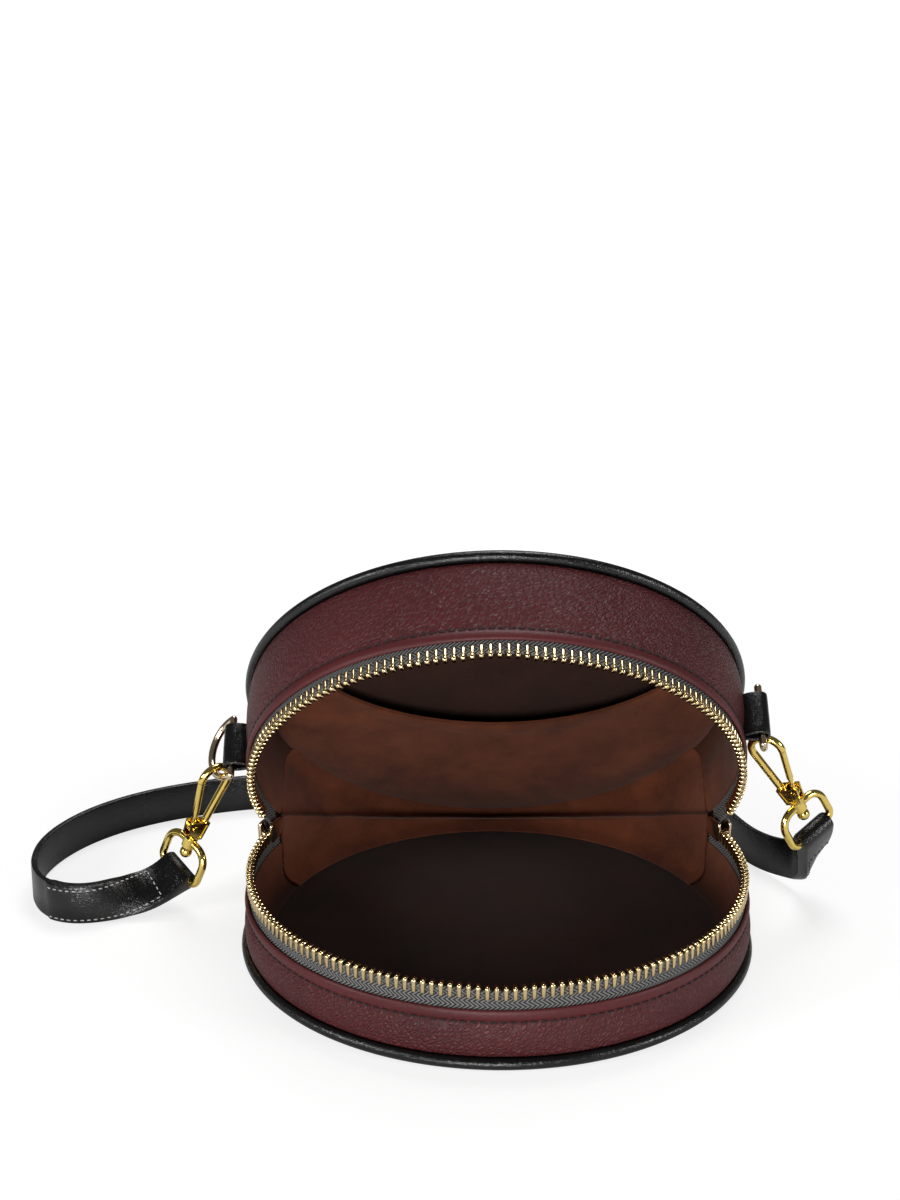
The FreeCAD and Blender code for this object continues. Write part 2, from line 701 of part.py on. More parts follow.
def slider_solid(ahead):
    """Two plates joined by a post, with lips under the lower teeth and a crown for the pull."""
    half = size("tooth_width") / 2 + size("slider_clearance")
    plate = size("slider_plate")
    long = size("slider_length")
    front = ahead * long / 2
    head = size("slider_head_width") / 2
    tail = size("slider_tail_width") / 2
    outline = [V(-front, 0, -tail), V(front, 0, -head), V(front, 0, head), V(-front, 0, tail)]
    face = Part.Face(Part.makePolygon(outline + outline[:1]))
    post_long = size("slider_post_length")
    post_thick = size("slider_post_thickness")
    body = Part.makeBox(post_long, 2 * half, post_thick,
                        V(front - (post_long if ahead > 0 else 0), -half, -post_thick / 2))
    lip_top = -size("tooth_edge_gap") - size("tooth_length") - size("slider_clearance")
    lip_foot = lip_top - size("slider_lip")
    lip_depth = half + plate - size("tape_thickness") / 2 - size("slider_tape_gap")
    for outwards in (-1, 1):
        near = half if outwards > 0 else -half - plate
        lip_near = half + plate - lip_depth if outwards > 0 else -half - plate
        cover = face.extrude(V(0, plate, 0))
        cover.translate(V(0, near, 0))
        lip = Part.makeBox(long, lip_depth, size("slider_lip"), V(-long / 2, lip_near, lip_foot))
        apron = Part.makeBox(long, plate, -lip_foot, V(-long / 2, near, lip_foot))
        body = body.fuse(cover).fuse(lip).fuse(apron)
    return body.fuse(crown_solid(half + plate)).removeSplitter()


def crown_solid(seat):
    """The arch on the outer plate that holds the pull's eye."""
    span = size("crown_span") / 2
    rise = size("crown_height")
    wall = size("crown_wall")
    outer = [V(0, seat, -span), V(0, seat + rise - wall, -span), V(0, seat + rise, -span + wall),
             V(0, seat + rise, span - wall), V(0, seat + rise - wall, span), V(0, seat, span)]
    arch = Part.Face(Part.makePolygon(outer + outer[:1])).extrude(V(size("crown_width"), 0, 0))
    hole = Part.makeBox(size("crown_width"), rise - wall, 2 * (span - wall), V(0, seat, wall - span))
    arch = arch.cut(hole)
    arch.translate(V(-size("crown_width") / 2, 0, 0))
    return arch


def pull_axis_height():
    """How far the pull's eye bar stands from the chain's middle."""
    seat = size("tooth_width") / 2 + size("slider_clearance") + size("slider_plate")
    return seat + (size("crown_height") - size("crown_wall")) / 2


def pull_solid():
    """The pull: an eye bar under the crown, two arms and a flat tongue with a round hole."""
    wire = size("pull_wire") / 2
    width = size("pull_width")
    thick = size("pull_thickness")
    eye = size("pull_eye_length")
    bar = Part.makeCylinder(wire, width - 2 * wire, V(wire - width / 2, 0, 0), V(1, 0, 0))
    for across in (-1, 1):
        arm = Part.makeCylinder(wire, eye, V(across * (width / 2 - wire), 0, -eye), UP)
        knee = Part.makeSphere(wire, V(across * (width / 2 - wire), 0, 0))
        bar = bar.fuse(arm).fuse(knee)
    low = size("pull_length") - width / 2
    tongue = Part.makeBox(width, thick, low - eye, V(-width / 2, -thick / 2, -low))
    end = Part.makeCylinder(width / 2, thick, V(0, -thick / 2, -low), V(0, 1, 0))
    hole = Part.makeCylinder(size("pull_hole") / 2, 2 * thick, V(0, -thick, -low), V(0, 1, 0))
    return bar.fuse(tongue).fuse(end).cut(hole).removeSplitter()


def make_slider(side):
    place = slider_frame(side)
    shaped(f"slider_{side}", slider_solid(SIDES[side]), place)
    shaped(f"pull_{side}", pull_solid(), place * moved(y=pull_axis_height()))


def strap_edges():
    """The strap's route as straight runs and tangent arcs, split where its pieces meet."""
    middle = size("strap_floor_gap") + size("strap_width") / 2
    points = [V(x, y, middle) for x, y in STRAP_ROUTE]
    pieces = [[]]
    start = points[0]
    radii = []
    for number in range(1, len(points)):
        before, point = points[number - 1], points[number]
        if number - 1 in STRAP_JOINTS:
            half = (before + point) / 2
            pieces[-1].append(Part.LineSegment(start, half).toShape())
            pieces.append([])
            start = half
        if number == len(points) - 1:
            pieces[-1].append(Part.LineSegment(start, point).toShape())
            break
        after = points[number + 1]
        back, ahead = before - point, after - point
        turn = math.pi - back.getAngle(ahead)
        cut = BEND_SHARE * min(back.Length, ahead.Length)
        radius = cut / math.tan(turn / 2)
        radii.append(radius)
        enter, leave = point + back / back.Length * cut, point + ahead / ahead.Length * cut
        inward = back / back.Length + ahead / ahead.Length
        depth = math.hypot(radius, cut) - radius
        pieces[-1].append(Part.LineSegment(start, enter).toShape())
        pieces[-1].append(Part.Arc(enter, point + inward / inward.Length * depth, leave).toShape())
        start = leave
    print("strap bend radii", [round(radius, 1) for radius in radii])
    return pieces


def make_strap_run(label, edges):
    """A stretch of the strap standing on its edge on the floor."""
    path = Part.Wire(edges)
    first = path.Edges[0]
    start = first.valueAt(first.FirstParameter)
    ahead = first.tangentAt(first.FirstParameter)
    across = UP.cross(ahead) * (size("strap_thickness") / 2)
    high = UP * (size("strap_width") / 2)
    corners = [start - across - high, start + across - high, start + across + high, start - across + high]
    solid = path.makePipeShell([Part.makePolygon(corners + corners[:1])], True, False)
    print(label, "length", round(path.Length, 1))
    shaped(label, solid)


def make_strap_end(side, point, heading):
    """The strap's folded end: a sleeve round the loop's bar and a doubled tongue that turns on its edge."""
    frame = loop_frame(side)
    bar = frame.multVec(V(0, 0, -size("post_gap") - size("boss_length") / 2 - size("loop_height")))
    across = frame.Rotation.multVec(V(1, 0, 0))
    down = frame.Rotation.multVec(V(0, 0, -1))
    edge = UP if across.z > 0 else UP * -1
    bore = size("loop_wire") / 2 + size("strap_clearance")
    outer = bore + size("strap_thickness")
    width = size("strap_width")
    start = bar + down * outer
    lead = size(f"strap_{side}_turn")
    sections = []
    for number in range(FOLD_STEPS + 1):
        share = number / FOLD_STEPS
        ease = share * share * (3 - 2 * share)
        hold = [(1 - share) ** 3, 3 * share * (1 - share) ** 2, 3 * share ** 2 * (1 - share), share ** 3]
        knots = [start, start + down * lead, point - heading * lead, point]
        place = V(0, 0, 0)
        for weight, knot in zip(hold, knots):
            place += knot * weight
        rates = [down * lead, point - heading * lead - start - down * lead, heading * lead]
        ahead = rates[0] * (1 - share) ** 2 + rates[1] * (2 * share * (1 - share)) + rates[2] * share ** 2
        ahead = ahead / ahead.Length
        wide = square_to(across * (1 - ease) + edge * ease, ahead) * (width / 2)
        thick = ahead.cross(wide) / wide.Length * size("strap_thickness")
        corners = [place - wide - thick, place + wide - thick, place + wide + thick, place - wide + thick]
        sections.append(Part.makePolygon(corners + corners[:1]))
    tongue = Part.makeLoft(sections, True, True)
    sleeve = Part.makeCylinder(outer, width, bar - across * (width / 2), across)
    hole = Part.makeCylinder(bore, 2 * width, bar - across * width, across)
    shaped(f"strap_{side}_fold", sleeve.fuse(tongue).cut(hole).removeSplitter())


def make_strap():
    pieces = strap_edges()
    for label, edges in zip(("strap_left_run", "strap_hank", "strap_right_run"), pieces):
        make_strap_run(label, edges)
    first, last = pieces[0][0], pieces[-1][-1]
    make_strap_end("left", first.valueAt(first.FirstParameter), first.tangentAt(first.FirstParameter))
    make_strap_end("right", last.valueAt(last.LastParameter), last.tangentAt(last.LastParameter) * -1)


for half_name in HALVES:
    make_half(half_name)
leather = size("wall_thickness")
make_gusset("hinge_gusset", -leather / 2, leather, 0.0)
inside = leather / 2 + size("gusset_layer_gap")
make_gusset("gusset_lining", inside, size("lining_thickness"), GUSSET_HEM_SHARE)
make_pocket()
for side_name in SIDES:
    make_tab(side_name)
    make_ring(side_name)
    make_hook(side_name)
    make_slider(side_name)
make_strap()
doc.recompute()

for item in doc.Objects:
    if "Invalid" in item.State or "Error" in item.State:
        raise RuntimeError(f"{item.Label} failed to build")
for label, item in parts.items():
    if item.Shape.isNull() or not item.Shape.isValid() or not item.Shape.Solids:
        raise RuntimeError(f"{label} has no valid solid")

os.makedirs("parts", exist_ok=True)
for label, item in parts.items():
    item.Shape.exportStep(os.path.join("parts", label + ".step"))
print(len(parts), "pieces")
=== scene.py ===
import json
import math

import bmesh
import bpy
from bpy.props import FloatProperty, FloatVectorProperty, PointerProperty
from mathutils import Matrix, Vector


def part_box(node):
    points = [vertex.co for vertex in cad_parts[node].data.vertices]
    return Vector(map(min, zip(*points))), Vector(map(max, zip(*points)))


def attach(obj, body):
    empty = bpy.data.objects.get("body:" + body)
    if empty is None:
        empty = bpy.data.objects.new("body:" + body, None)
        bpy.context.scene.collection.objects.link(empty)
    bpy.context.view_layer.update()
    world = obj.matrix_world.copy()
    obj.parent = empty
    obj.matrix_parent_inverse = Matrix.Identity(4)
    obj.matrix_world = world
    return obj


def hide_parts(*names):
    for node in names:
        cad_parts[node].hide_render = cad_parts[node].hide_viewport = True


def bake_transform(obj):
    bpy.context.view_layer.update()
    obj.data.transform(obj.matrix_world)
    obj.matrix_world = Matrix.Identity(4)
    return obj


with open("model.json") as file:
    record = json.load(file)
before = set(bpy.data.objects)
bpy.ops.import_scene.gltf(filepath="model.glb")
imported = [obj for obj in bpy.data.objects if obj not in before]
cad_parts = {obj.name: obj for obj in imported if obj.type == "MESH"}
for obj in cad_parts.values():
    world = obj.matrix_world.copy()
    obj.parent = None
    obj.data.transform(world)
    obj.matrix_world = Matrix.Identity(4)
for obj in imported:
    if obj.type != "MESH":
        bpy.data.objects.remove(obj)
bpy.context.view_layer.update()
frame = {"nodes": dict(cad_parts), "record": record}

bl_info = {
    "name": "Circle Bag",
    "version": (1, 0, 0),
    "blender": (4, 5, 0),
    "location": "View3D > Sidebar > Circle Bag",
    "description": "Dresses a round zip bag: leather, lining, zip, metal fittings and strap",
    "category": "Object",
}

JOINTS = {joint["name"]: joint for joint in frame["record"]["behaviour"]["joints"]}
HINGE = Vector(JOINTS["lid_hinge"]["pos_m"])
OPEN_ANGLE = -math.radians(JOINTS["lid_hinge"]["range_deg"][0])
LID_OPEN = Matrix.Translation(HINGE) @ Matrix.Rotation(-OPEN_ANGLE, 4, "X") @ Matrix.Translation(-HINGE)

# Radii and heights that the frame fixes.
WALL_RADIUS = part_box("base_wall")[1].x
WALL_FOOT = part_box("base_wall")[0].z
RIM_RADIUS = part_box("base_piping")[1].x
PIPING_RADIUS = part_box("base_piping")[1].z / 2
PANEL_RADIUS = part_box("base_panel")[1].x
PANEL_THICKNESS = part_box("base_panel")[1].z
LINING_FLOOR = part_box("base_stiffener")[1].z
WALL_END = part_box("base_wall")[1].y
SPLIT_HEIGHT = HINGE.z

SIDES = {"left": -1, "right": 1}

# Points nearer than this are one, and pieces that lie on one another are this far apart.
MERGE = 0.00001
SEAM = 0.0001

# Edges flatter than this are shaded smooth: on cloth, on metal and firm leather, and on the strap.
SOFT_EDGE = math.radians(60)
FIRM_EDGE = math.radians(50)
STRAP_EDGE = math.radians(45)
# Steps round the bag of each swept piece.
ROUND_STEPS = {"wall": 120, "panel": 96, "piping": 128, "lining": 160, "gusset": 72, "tape": 180}


# ---- Sizes and colours that a user would change


def length(label, text, default):
    """A length in metres for a property group."""
    return FloatProperty(name=label, description=text, default=default, min=0.0, unit="LENGTH", precision=5)


def linear(red, green, blue):
    """A colour as the renderer takes it, from red, green and blue out of 255."""
    shares = [channel / 255 for channel in (red, green, blue)]
    return [s / 12.92 if s <= 0.04045 else ((s + 0.055) / 1.055) ** 2.4 for s in shares]


def colour(label, text, red, green, blue):
    """A surface colour for a property group, given out of 255."""
    return FloatVectorProperty(name=label, description=text, default=linear(red, green, blue), size=3,
                               min=0.0, max=1.0, subtype="COLOR")


class BagSizes(bpy.types.PropertyGroup):
    """Sizes of the dressed pieces."""

    closed_depth: length("Closed depth", "From one panel's face to the other's", 0.074)
    leather: length("Leather", "Thickness of the walls", 0.0014)
    base_hem_gap: length("Base hem gap", "From the zip's middle to the base wall's edge", 0.0086)
    lid_hem_gap: length("Lid hem gap", "From the zip's middle to the lid wall's edge", 0.0066)
    hem_width: length("Hem width", "From the leather's edge to its stitch line", 0.0046)
    wall_swell: length("Wall swell", "How far the walls belly out", 0.0005)
    wall_wave: length("Wall wave", "How uneven the walls are", 0.0005)
    stitch_dip: length("Stitch dip", "How deep the stitches draw the leather in", 0.0009)
    stitch_pitch: length("Stitch pitch", "From one stitch of a hem to the next", 0.0034)
    stitch_length: length("Stitch length", "Length of one stitch", 0.0025)
    thread: length("Thread", "Thickness of the thread", 0.0008)
    panel_crown: length("Panel crown", "How far the lid's panel is domed", 0.0014)
    lining: length("Lining", "Thickness of the lining", 0.0008)
    lining_gap: length("Lining gap", "From the wall's outside to the lining", 0.0026)
    lining_hem: length("Lining hem", "From the zip's middle to the lining's edge", 0.0088)
    lining_slack: length("Lining slack", "How far the lining puckers", 0.0009)
    lining_bend: length("Lining bend", "Radius where the lining turns up", 0.007)
    lining_lap: length("Lining lap", "How far the lining runs on behind the gusset", 0.004)
    lid_zip_setback: length("Lid zip setback", "How far the lid's zip ends before the base's", 0.0065)
    slider_length: length("Slider length", "Length of a zip slider", 0.0104)
    slider_head: length("Slider head", "Width of a slider at its post", 0.0084)
    slider_tail: length("Slider tail", "Width of a slider at its other end", 0.0066)
    slider_plate: length("Slider plate", "Thickness of a slider's plates", 0.001)
    slider_room: length("Slider room", "From the zip's middle to a slider's plate", 0.00175)
    slider_post: length("Slider post", "Thickness of the post between a slider's plates", 0.0004)
    slider_post_run: length("Slider post run", "Length of that post along the zip", 0.0024)
    crown_span: length("Crown span", "Length of the arch that holds the pull", 0.0054)
    crown_height: length("Crown height", "Height of the arch that holds the pull", 0.0028)
    crown_width: length("Crown width", "Width of the arch that holds the pull", 0.0026)
    tape_width: length("Tape width", "Width of one zip tape", 0.0126)
    tape_thickness: length("Tape thickness", "Thickness of the zip tape", 0.0008)
    tape_edge: length("Tape edge", "From the zip's middle to the tape's edge", 0.0012)
    tooth_pitch: length("Tooth pitch", "From one zip tooth to the next", 0.0031)
    tooth_thickness: length("Tooth thickness", "Thickness of a tooth along the zip", 0.0014)
    tooth_width: length("Tooth width", "Width of a tooth through the tape", 0.0026)
    tooth_leg: length("Tooth leg", "Height of a tooth's legs", 0.0032)
    tooth_head: length("Tooth head", "Height of a tooth's head", 0.0017)
    tooth_reach: length("Tooth reach", "How far a tooth reaches over the zip's middle", 0.0004)
    zip_part: length("Zip part", "How far each row gives way where the sliders meet", 0.0007)
    zip_part_run: length("Zip part run", "Half the length of the row that gives way in full", 0.004)
    zip_part_ease: length("Zip part ease", "Length over which the row comes back", 0.009)
    pocket_gap: length("Pocket gap", "From the lining to the pocket's sheet", 0.0065)
    pocket_mouth: length("Pocket mouth", "How far behind the middle the pocket's mouth dips", 0.004)
    pocket_curve: length("Pocket curve", "Radius of the pocket's mouth", 0.096)
    pocket_radius: length("Pocket radius", "Radius of the pocket's sewn edge", 0.0875)
    pocket_hem: length("Pocket hem", "Width of the hem at the pocket's mouth", 0.0075)
    tab_width: length("Tab width", "Width of a strap tab", 0.0175)
    tab_leather: length("Tab leather", "Thickness of a strap tab's leather", 0.0015)
    strap_width: length("Strap width", "Width of the shoulder strap", 0.0155)
    strap_thickness: length("Strap thickness", "Thickness of the shoulder strap", 0.0024)
    strap_floor_gap: length("Strap floor gap", "From the floor to the strap's lower edge", 0.0003)
    left_fold: length("Left fold", "Length of strap that is doubled at its left end", 0.054)
    right_fold: length("Right fold", "Length of strap that is doubled at its right end", 0.028)
    left_give: length("Left give", "Length of strap that gives as the lid turns, at its left end", 0.078)
    right_give: length("Right give", "Length of strap that gives as the lid turns, at its right end", 0.06)
    strap_step: length("Strap step", "From one row of the strap's points to the next", 0.0022)
    gusset_crease: length("Gusset crease", "How far the gusset's lining puckers", 0.0022)
    ring_wire: length("Ring wire", "Thickness of the rings' and loops' wire", 0.0028)
    strap_stitch: length("Strap stitch", "From one strap stitch to the next", 0.0023)
    strap_thread: length("Strap thread", "Thickness of the strap's thread", 0.0005)


class BagColours(bpy.types.PropertyGroup):
    """Colours of the finishes."""

    leather: colour("Leather", "Pebbled leather of the walls and panels", 90, 31, 34)
    leather_deep: colour("Leather deep", "The same leather in its creases", 46, 13, 15)
    black: colour("Black", "Smooth leather of the piping, tabs and strap", 8, 8, 9)
    black_worn: colour("Black worn", "The same leather where it is rubbed", 24, 24, 26)
    lining: colour("Lining", "Suede-like lining", 114, 60, 36)
    lining_deep: colour("Lining deep", "The same lining in its nap", 50, 21, 11)
    # Painted shade: the lining's colour at the bottom of each half, where the bag's inside lies in shadow.
    lining_painted_shade: colour("Lining dark", "The same lining at the bottom", 14, 5, 3)
    tape: colour("Tape", "Dark yarn of the zip tape", 24, 24, 26)
    tape_light: colour("Tape light", "Light yarn of the zip tape", 122, 121, 120)
    gold: colour("Gold", "Metal of the hooks", 244, 214, 118)
    zip_gold: colour("Zip gold", "Metal of the zip's teeth", 236, 212, 160)
    pale_gold: colour("Pale gold", "Metal of the rings and sliders", 228, 208, 178)
    thread: colour("Thread", "Thread of the hems", 22, 5, 6)
    pale_thread: colour("Pale thread", "Thread of the strap's left end", 196, 194, 190)
    board: colour("Board", "Stiffening boards", 128, 116, 100)
    floor: colour("Floor", "Studio floor", 240, 240, 240)


# ---- Shader maths


class Socket:
    """A node's output in a sum: its operators add Math nodes."""

    def __init__(self, finish, output):
        self.finish = finish
        self.output = output

    def maths(self, operation, *values):
        inputs = {index: value for index, value in enumerate((self, *values))}
        return self.finish.node("ShaderNodeMath", {"operation": operation}, inputs)

    def __add__(self, other):
        return self.maths("ADD", other)

    def __sub__(self, other):
        return self.maths("SUBTRACT", other)

    def __rsub__(self, other):
        return self.maths("MULTIPLY", -1.0).maths("ADD", other)

    def __mul__(self, other):
        return self.maths("MULTIPLY", other)

    def __truediv__(self, other):
        return self.maths("DIVIDE", other)

    def fraction(self):
        return self.maths("FRACT")

    def size(self):
        return self.maths("ABSOLUTE")

    def ramp(self, low, high, bottom=0.0, top=1.0):
        """A smooth step from bottom to top as the value goes from low to high."""
        settings = {"interpolation_type": "SMOOTHSTEP"}
        inputs = {"Value": self, "From Min": low, "From Max": high, "To Min": bottom, "To Max": top}
        return self.finish.node("ShaderNodeMapRange", settings, inputs)


class Finish:
    """A material under construction, with its shader and its surface coordinates."""

    def __init__(self, name):
        self.material = bpy.data.materials.new(name)
        self.material.use_nodes = True
        self.tree = self.material.node_tree
        self.shader = self.tree.nodes["Principled BSDF"]
        self.coordinates = self.tree.nodes.new("ShaderNodeTexCoord")
        self.place = Socket(self, self.coordinates.outputs["Object"])
        self.flat = Socket(self, self.coordinates.outputs["UV"])

    def link(self, target, value):
        """Sets a socket to a value, or links an output to it."""
        if isinstance(value, Socket):
            self.tree.links.new(value.output, target)
        else:
            target.default_value = value

    def node(self, kind, settings=None, inputs=None, output=0):
        """A node with its settings and its sockets' values or links. Gives one of its outputs."""
        made = self.tree.nodes.new(kind)
        for key, value in (settings or {}).items():
            setattr(made, key, value)
        for key, value in (inputs or {}).items():
            self.link(made.inputs[key], value)
        return Socket(self, made.outputs[output])

    def noise(self, scale, detail=3.0, roughness=0.55, vector=None):
        inputs = {"Vector": vector or self.place, "Scale": scale, "Detail": detail, "Roughness": roughness}
        return self.node("ShaderNodeTexNoise", None, inputs)

    def cells(self, scale, feature="DISTANCE_TO_EDGE", vector=None):
        inputs = {"Vector": vector or self.place, "Scale": scale}
        return self.node("ShaderNodeTexVoronoi", {"feature": feature}, inputs)

    def warped(self, scale, amount, vector=None):
        """The surface's place, pushed about by a noise."""
        start = vector or self.place
        inputs = {"Vector": start, "Scale": scale, "Detail": 2.0}
        noise = self.node("ShaderNodeTexNoise", None, inputs, "Color")
        middle = {0: noise, 1: (0.5, 0.5, 0.5)}
        centred = self.node("ShaderNodeVectorMath", {"operation": "SUBTRACT"}, middle)
        push = self.node("ShaderNodeVectorMath", {"operation": "SCALE"}, {0: centred, "Scale": amount})
        return self.node("ShaderNodeVectorMath", {"operation": "ADD"}, {0: start, 1: push})

    def mix(self, share, first, second):
        """A colour between two colours."""
        inputs = {"Factor": share, 6: self.opaque(first), 7: self.opaque(second)}
        return self.node("ShaderNodeMix", {"data_type": "RGBA"}, inputs, 2)

    def opaque(self, value):
        return value if isinstance(value, Socket) else (*value, 1.0)

    def mark(self, name):
        """A mark that the mesh's points carry, from 0 to 1."""
        return self.node("ShaderNodeAttribute", {"attribute_name": name}, None, "Fac")

    def split(self, vector):
        """The three numbers of a vector."""
        made = self.tree.nodes.new("ShaderNodeSeparateXYZ")
        self.link(made.inputs[0], vector)
        return [Socket(self, output) for output in made.outputs]

    def paint(self, colour_value, roughness, metallic=0.0, **plain):
        """Feeds the shader's colour, roughness and metal, and sets plain values by name."""
        self.link(self.shader.inputs["Base Color"], self.opaque(colour_value))
        self.link(self.shader.inputs["Roughness"], roughness)
        self.link(self.shader.inputs["Metallic"], metallic)
        for key, value in plain.items():
            self.link(self.shader.inputs[key.replace("_", " ")], value)

    def relief(self, height, depth, strength=1.0):
        """Bump from a height of 0 to 1, in metres of depth."""
        inputs = {"Height": height, "Distance": depth, "Strength": strength}
        self.link(self.shader.inputs["Normal"], self.node("ShaderNodeBump", None, inputs))


MATERIALS = {}

# Fineness of what each finish shows, in cells or waves a metre, and depth of its relief in metres.
FINENESS = {
    "leather_grain": 760.0, "leather_pores": 2600.0, "leather_patches": 26.0, "leather_warp": 300.0,
    "black_grain": 1300.0, "black_rub": 60.0, "black_warp": 700.0,
    "nap": 1900.0, "brushing": 40.0, "brushing_warp": 30.0,
    "fluff": 3200.0, "marks": 240.0, "scratches": 1800.0, "fibre": 500.0,
}
DEPTHS = {"leather": 0.0004, "black": 0.0001, "lining": 0.0003, "tape": 0.00022, "metal": 0.00006,
          "thread": 0.0001, "board": 0.0002}
# How far a noise pushes the grain about, in metres.
LEATHER_WARP = 0.0007
BLACK_WARP = 0.0006
BRUSHING_WARP = 0.02
# The leather's wrinkles run aslant: how far they are stretched along and across their own way.
WRINKLE_STRETCH = (0.4, 0.75)
# How far the lining goes over to its painted shade colour at the bottom.
LINING_SHADE_SHARE = 0.8
HERRINGBONE_BAND = 0.0036
HERRINGBONE_PITCH = 0.0017
HERRINGBONE_SLANT = 1.4
THREAD_TWIST = 0.0004


def pebbled_leather(c):
    """Burgundy leather: slanted wrinkles between small rounded grains, pressed flat along the hems."""
    finish = Finish("pebbled_leather")
    hem = finish.mark("hem")
    along, up, _ = finish.split(finish.flat)
    long, wide = WRINKLE_STRETCH
    slanted = finish.node("ShaderNodeCombineXYZ", None, {0: (along + up) * long, 1: (up - along) * wide})
    crumpled = finish.warped(FINENESS["leather_warp"], LEATHER_WARP, slanted)
    grain = finish.cells(FINENESS["leather_grain"], vector=crumpled).ramp(0.0, 0.3)
    fine = finish.noise(FINENESS["leather_pores"], 2.0, vector=slanted)
    patches = finish.noise(FINENESS["leather_patches"], 3.0)
    relief = (grain * 0.85 + fine * 0.15) * (1.0 - hem * 0.85) + hem * 0.6
    tone = relief * 0.4 + patches * 0.6
    finish.paint(finish.mix(tone, c.leather_deep, c.leather), relief * -0.08 + patches * 0.1 + 0.48,
                 Specular_IOR_Level=0.32)
    finish.relief(relief, DEPTHS["leather"], 0.85)
    return finish.material


def smooth_leather(c):
    """Black leather with a fine, flat grain, rubbed paler in patches."""
    finish = Finish("smooth_leather")
    crumpled = finish.warped(FINENESS["black_warp"], BLACK_WARP)
    grain = finish.cells(FINENESS["black_grain"], vector=crumpled).ramp(0.0, 0.35)
    rub = finish.noise(FINENESS["black_rub"], 4.0).ramp(0.5, 0.8)
    finish.paint(finish.mix(rub * 0.6, c.black, c.black_worn), grain * -0.05 + rub * 0.1 + 0.25,
                 Specular_IOR_Level=0.5)
    finish.relief(grain, DEPTHS["black"], 0.5)
    return finish.material


def suede_lining(c):
    """Brown lining with a brushed nap, darkened by painted shade towards the bottom."""
    finish = Finish("suede_lining")
    depth = finish.mark("depth")
    nap = finish.noise(FINENESS["nap"], 3.0, 0.7)
    swept = finish.warped(FINENESS["brushing_warp"], BRUSHING_WARP)
    brushed = finish.noise(FINENESS["brushing"], 4.0, 0.6, swept)
    tone = (brushed + nap * 0.5 - 0.25).ramp(0.0, 1.0)
    brown = finish.mix(tone, c.lining_deep, c.lining)
    # Painted shade: the lining goes over to its shaded colour towards the bottom, by the depth mark.
    finish.paint(finish.mix(depth * LINING_SHADE_SHARE, brown, c.lining_painted_shade), nap * 0.08 + 0.88, Sheen_Weight=0.06,
                 Specular_IOR_Level=0.2)
    finish.relief(nap * 0.7 + brushed * 0.3, DEPTHS["lining"], 0.6)
    return finish.material


def zip_tape(c):
    """Woven tape whose slanted ribs turn about in narrow bands."""
    finish = Finish("zip_tape")
    along, up, _ = finish.split(finish.flat)
    zigzag = ((up / HERRINGBONE_BAND).fraction() - 0.5).size() * (HERRINGBONE_SLANT * HERRINGBONE_BAND)
    rib = (((along + zigzag) / HERRINGBONE_PITCH).fraction() - 0.5).size() * 2.0
    yarn = rib.ramp(0.3, 0.75)
    fluff = finish.noise(FINENESS["fluff"], 2.0)
    finish.paint(finish.mix(yarn * (fluff * 0.8 + 0.45), c.tape, c.tape_light), 0.82)
    finish.relief(yarn * 0.8 + fluff * 0.2, DEPTHS["tape"], 0.8)
    return finish.material


def polished_metal(name, tint):
    """Plated metal with faint handling marks."""
    finish = Finish(name)
    marks = finish.noise(FINENESS["marks"], 4.0, 0.6)
    scratches = finish.noise(FINENESS["scratches"], 2.0)
    dull = [channel * 0.82 for channel in tint]
    finish.paint(finish.mix(marks.ramp(0.5, 0.85), tint, dull), marks * 0.12 + scratches * 0.04 + 0.06, 1.0)
    finish.relief(marks, DEPTHS["metal"], 0.25)
    return finish.material


def twisted_thread(name, tint):
    """Sewing thread with a slanted twist."""
    finish = Finish(name)
    x, y, z = finish.split(finish.place)
    twist = ((x + y + z) / THREAD_TWIST).fraction()
    dark = [channel * 0.55 for channel in tint]
    finish.paint(finish.mix(twist.ramp(0.2, 0.8), dark, tint), 0.7)
    finish.relief(twist, DEPTHS["thread"], 0.5)
    return finish.material


def stiff_board(c):
    """Pressed board between leather and lining."""
    finish = Finish("stiff_board")
    fibre = finish.noise(FINENESS["fibre"], 4.0, 0.7)
    dark = [channel * 0.7 for channel in c.board]
    finish.paint(finish.mix(fibre, dark, c.board), 0.9)
    finish.relief(fibre, DEPTHS["board"], 0.5)
    return finish.material


def make_materials(c):
    """All finishes, by name."""
    MATERIALS.update(
        leather=pebbled_leather(c),
        black=smooth_leather(c),
        lining=suede_lining(c),
        tape=zip_tape(c),
        gold=polished_metal("gold_plate", tuple(c.gold)),
        zip_gold=polished_metal("zip_plate", tuple(c.zip_gold)),
        pale_gold=polished_metal("pale_gold_plate", tuple(c.pale_gold)),
        thread=twisted_thread("hem_thread", tuple(c.thread)),
        pale_thread=twisted_thread("strap_thread", tuple(c.pale_thread)),
        brown_thread=twisted_thread("pocket_thread", tuple(c.lining)),
        black_thread=twisted_thread("dark_thread", tuple(c.black_worn)),
        board=stiff_board(c),
    )


# ---- Modelling by hand


def clamped(value):
    """A value kept between 0 and 1."""
    return min(max(value, 0.0), 1.0)


def eased(value):
    """A smooth step from 0 to 1."""
    share = clamped(value)
    return share * share * (3 - 2 * share)


def fresh():
    """Leaves nothing selected."""
    if bpy.context.object and bpy.context.object.mode != "OBJECT":
        bpy.ops.object.mode_set(mode="OBJECT")
    bpy.ops.object.select_all(action="DESELECT")


def take(obj):
    """Makes one object the selected and active one."""
    fresh()
    obj.select_set(True)
    bpy.context.view_layer.objects.active = obj


def edit(obj):
    """Opens an object for editing with everything selected."""
    take(obj)
    bpy.ops.object.mode_set(mode="EDIT")
    bpy.ops.mesh.select_mode(type="VERT")
    bpy.ops.mesh.select_all(action="SELECT")


def close():
    """Ends the editing."""
    bpy.ops.object.mode_set(mode="OBJECT")


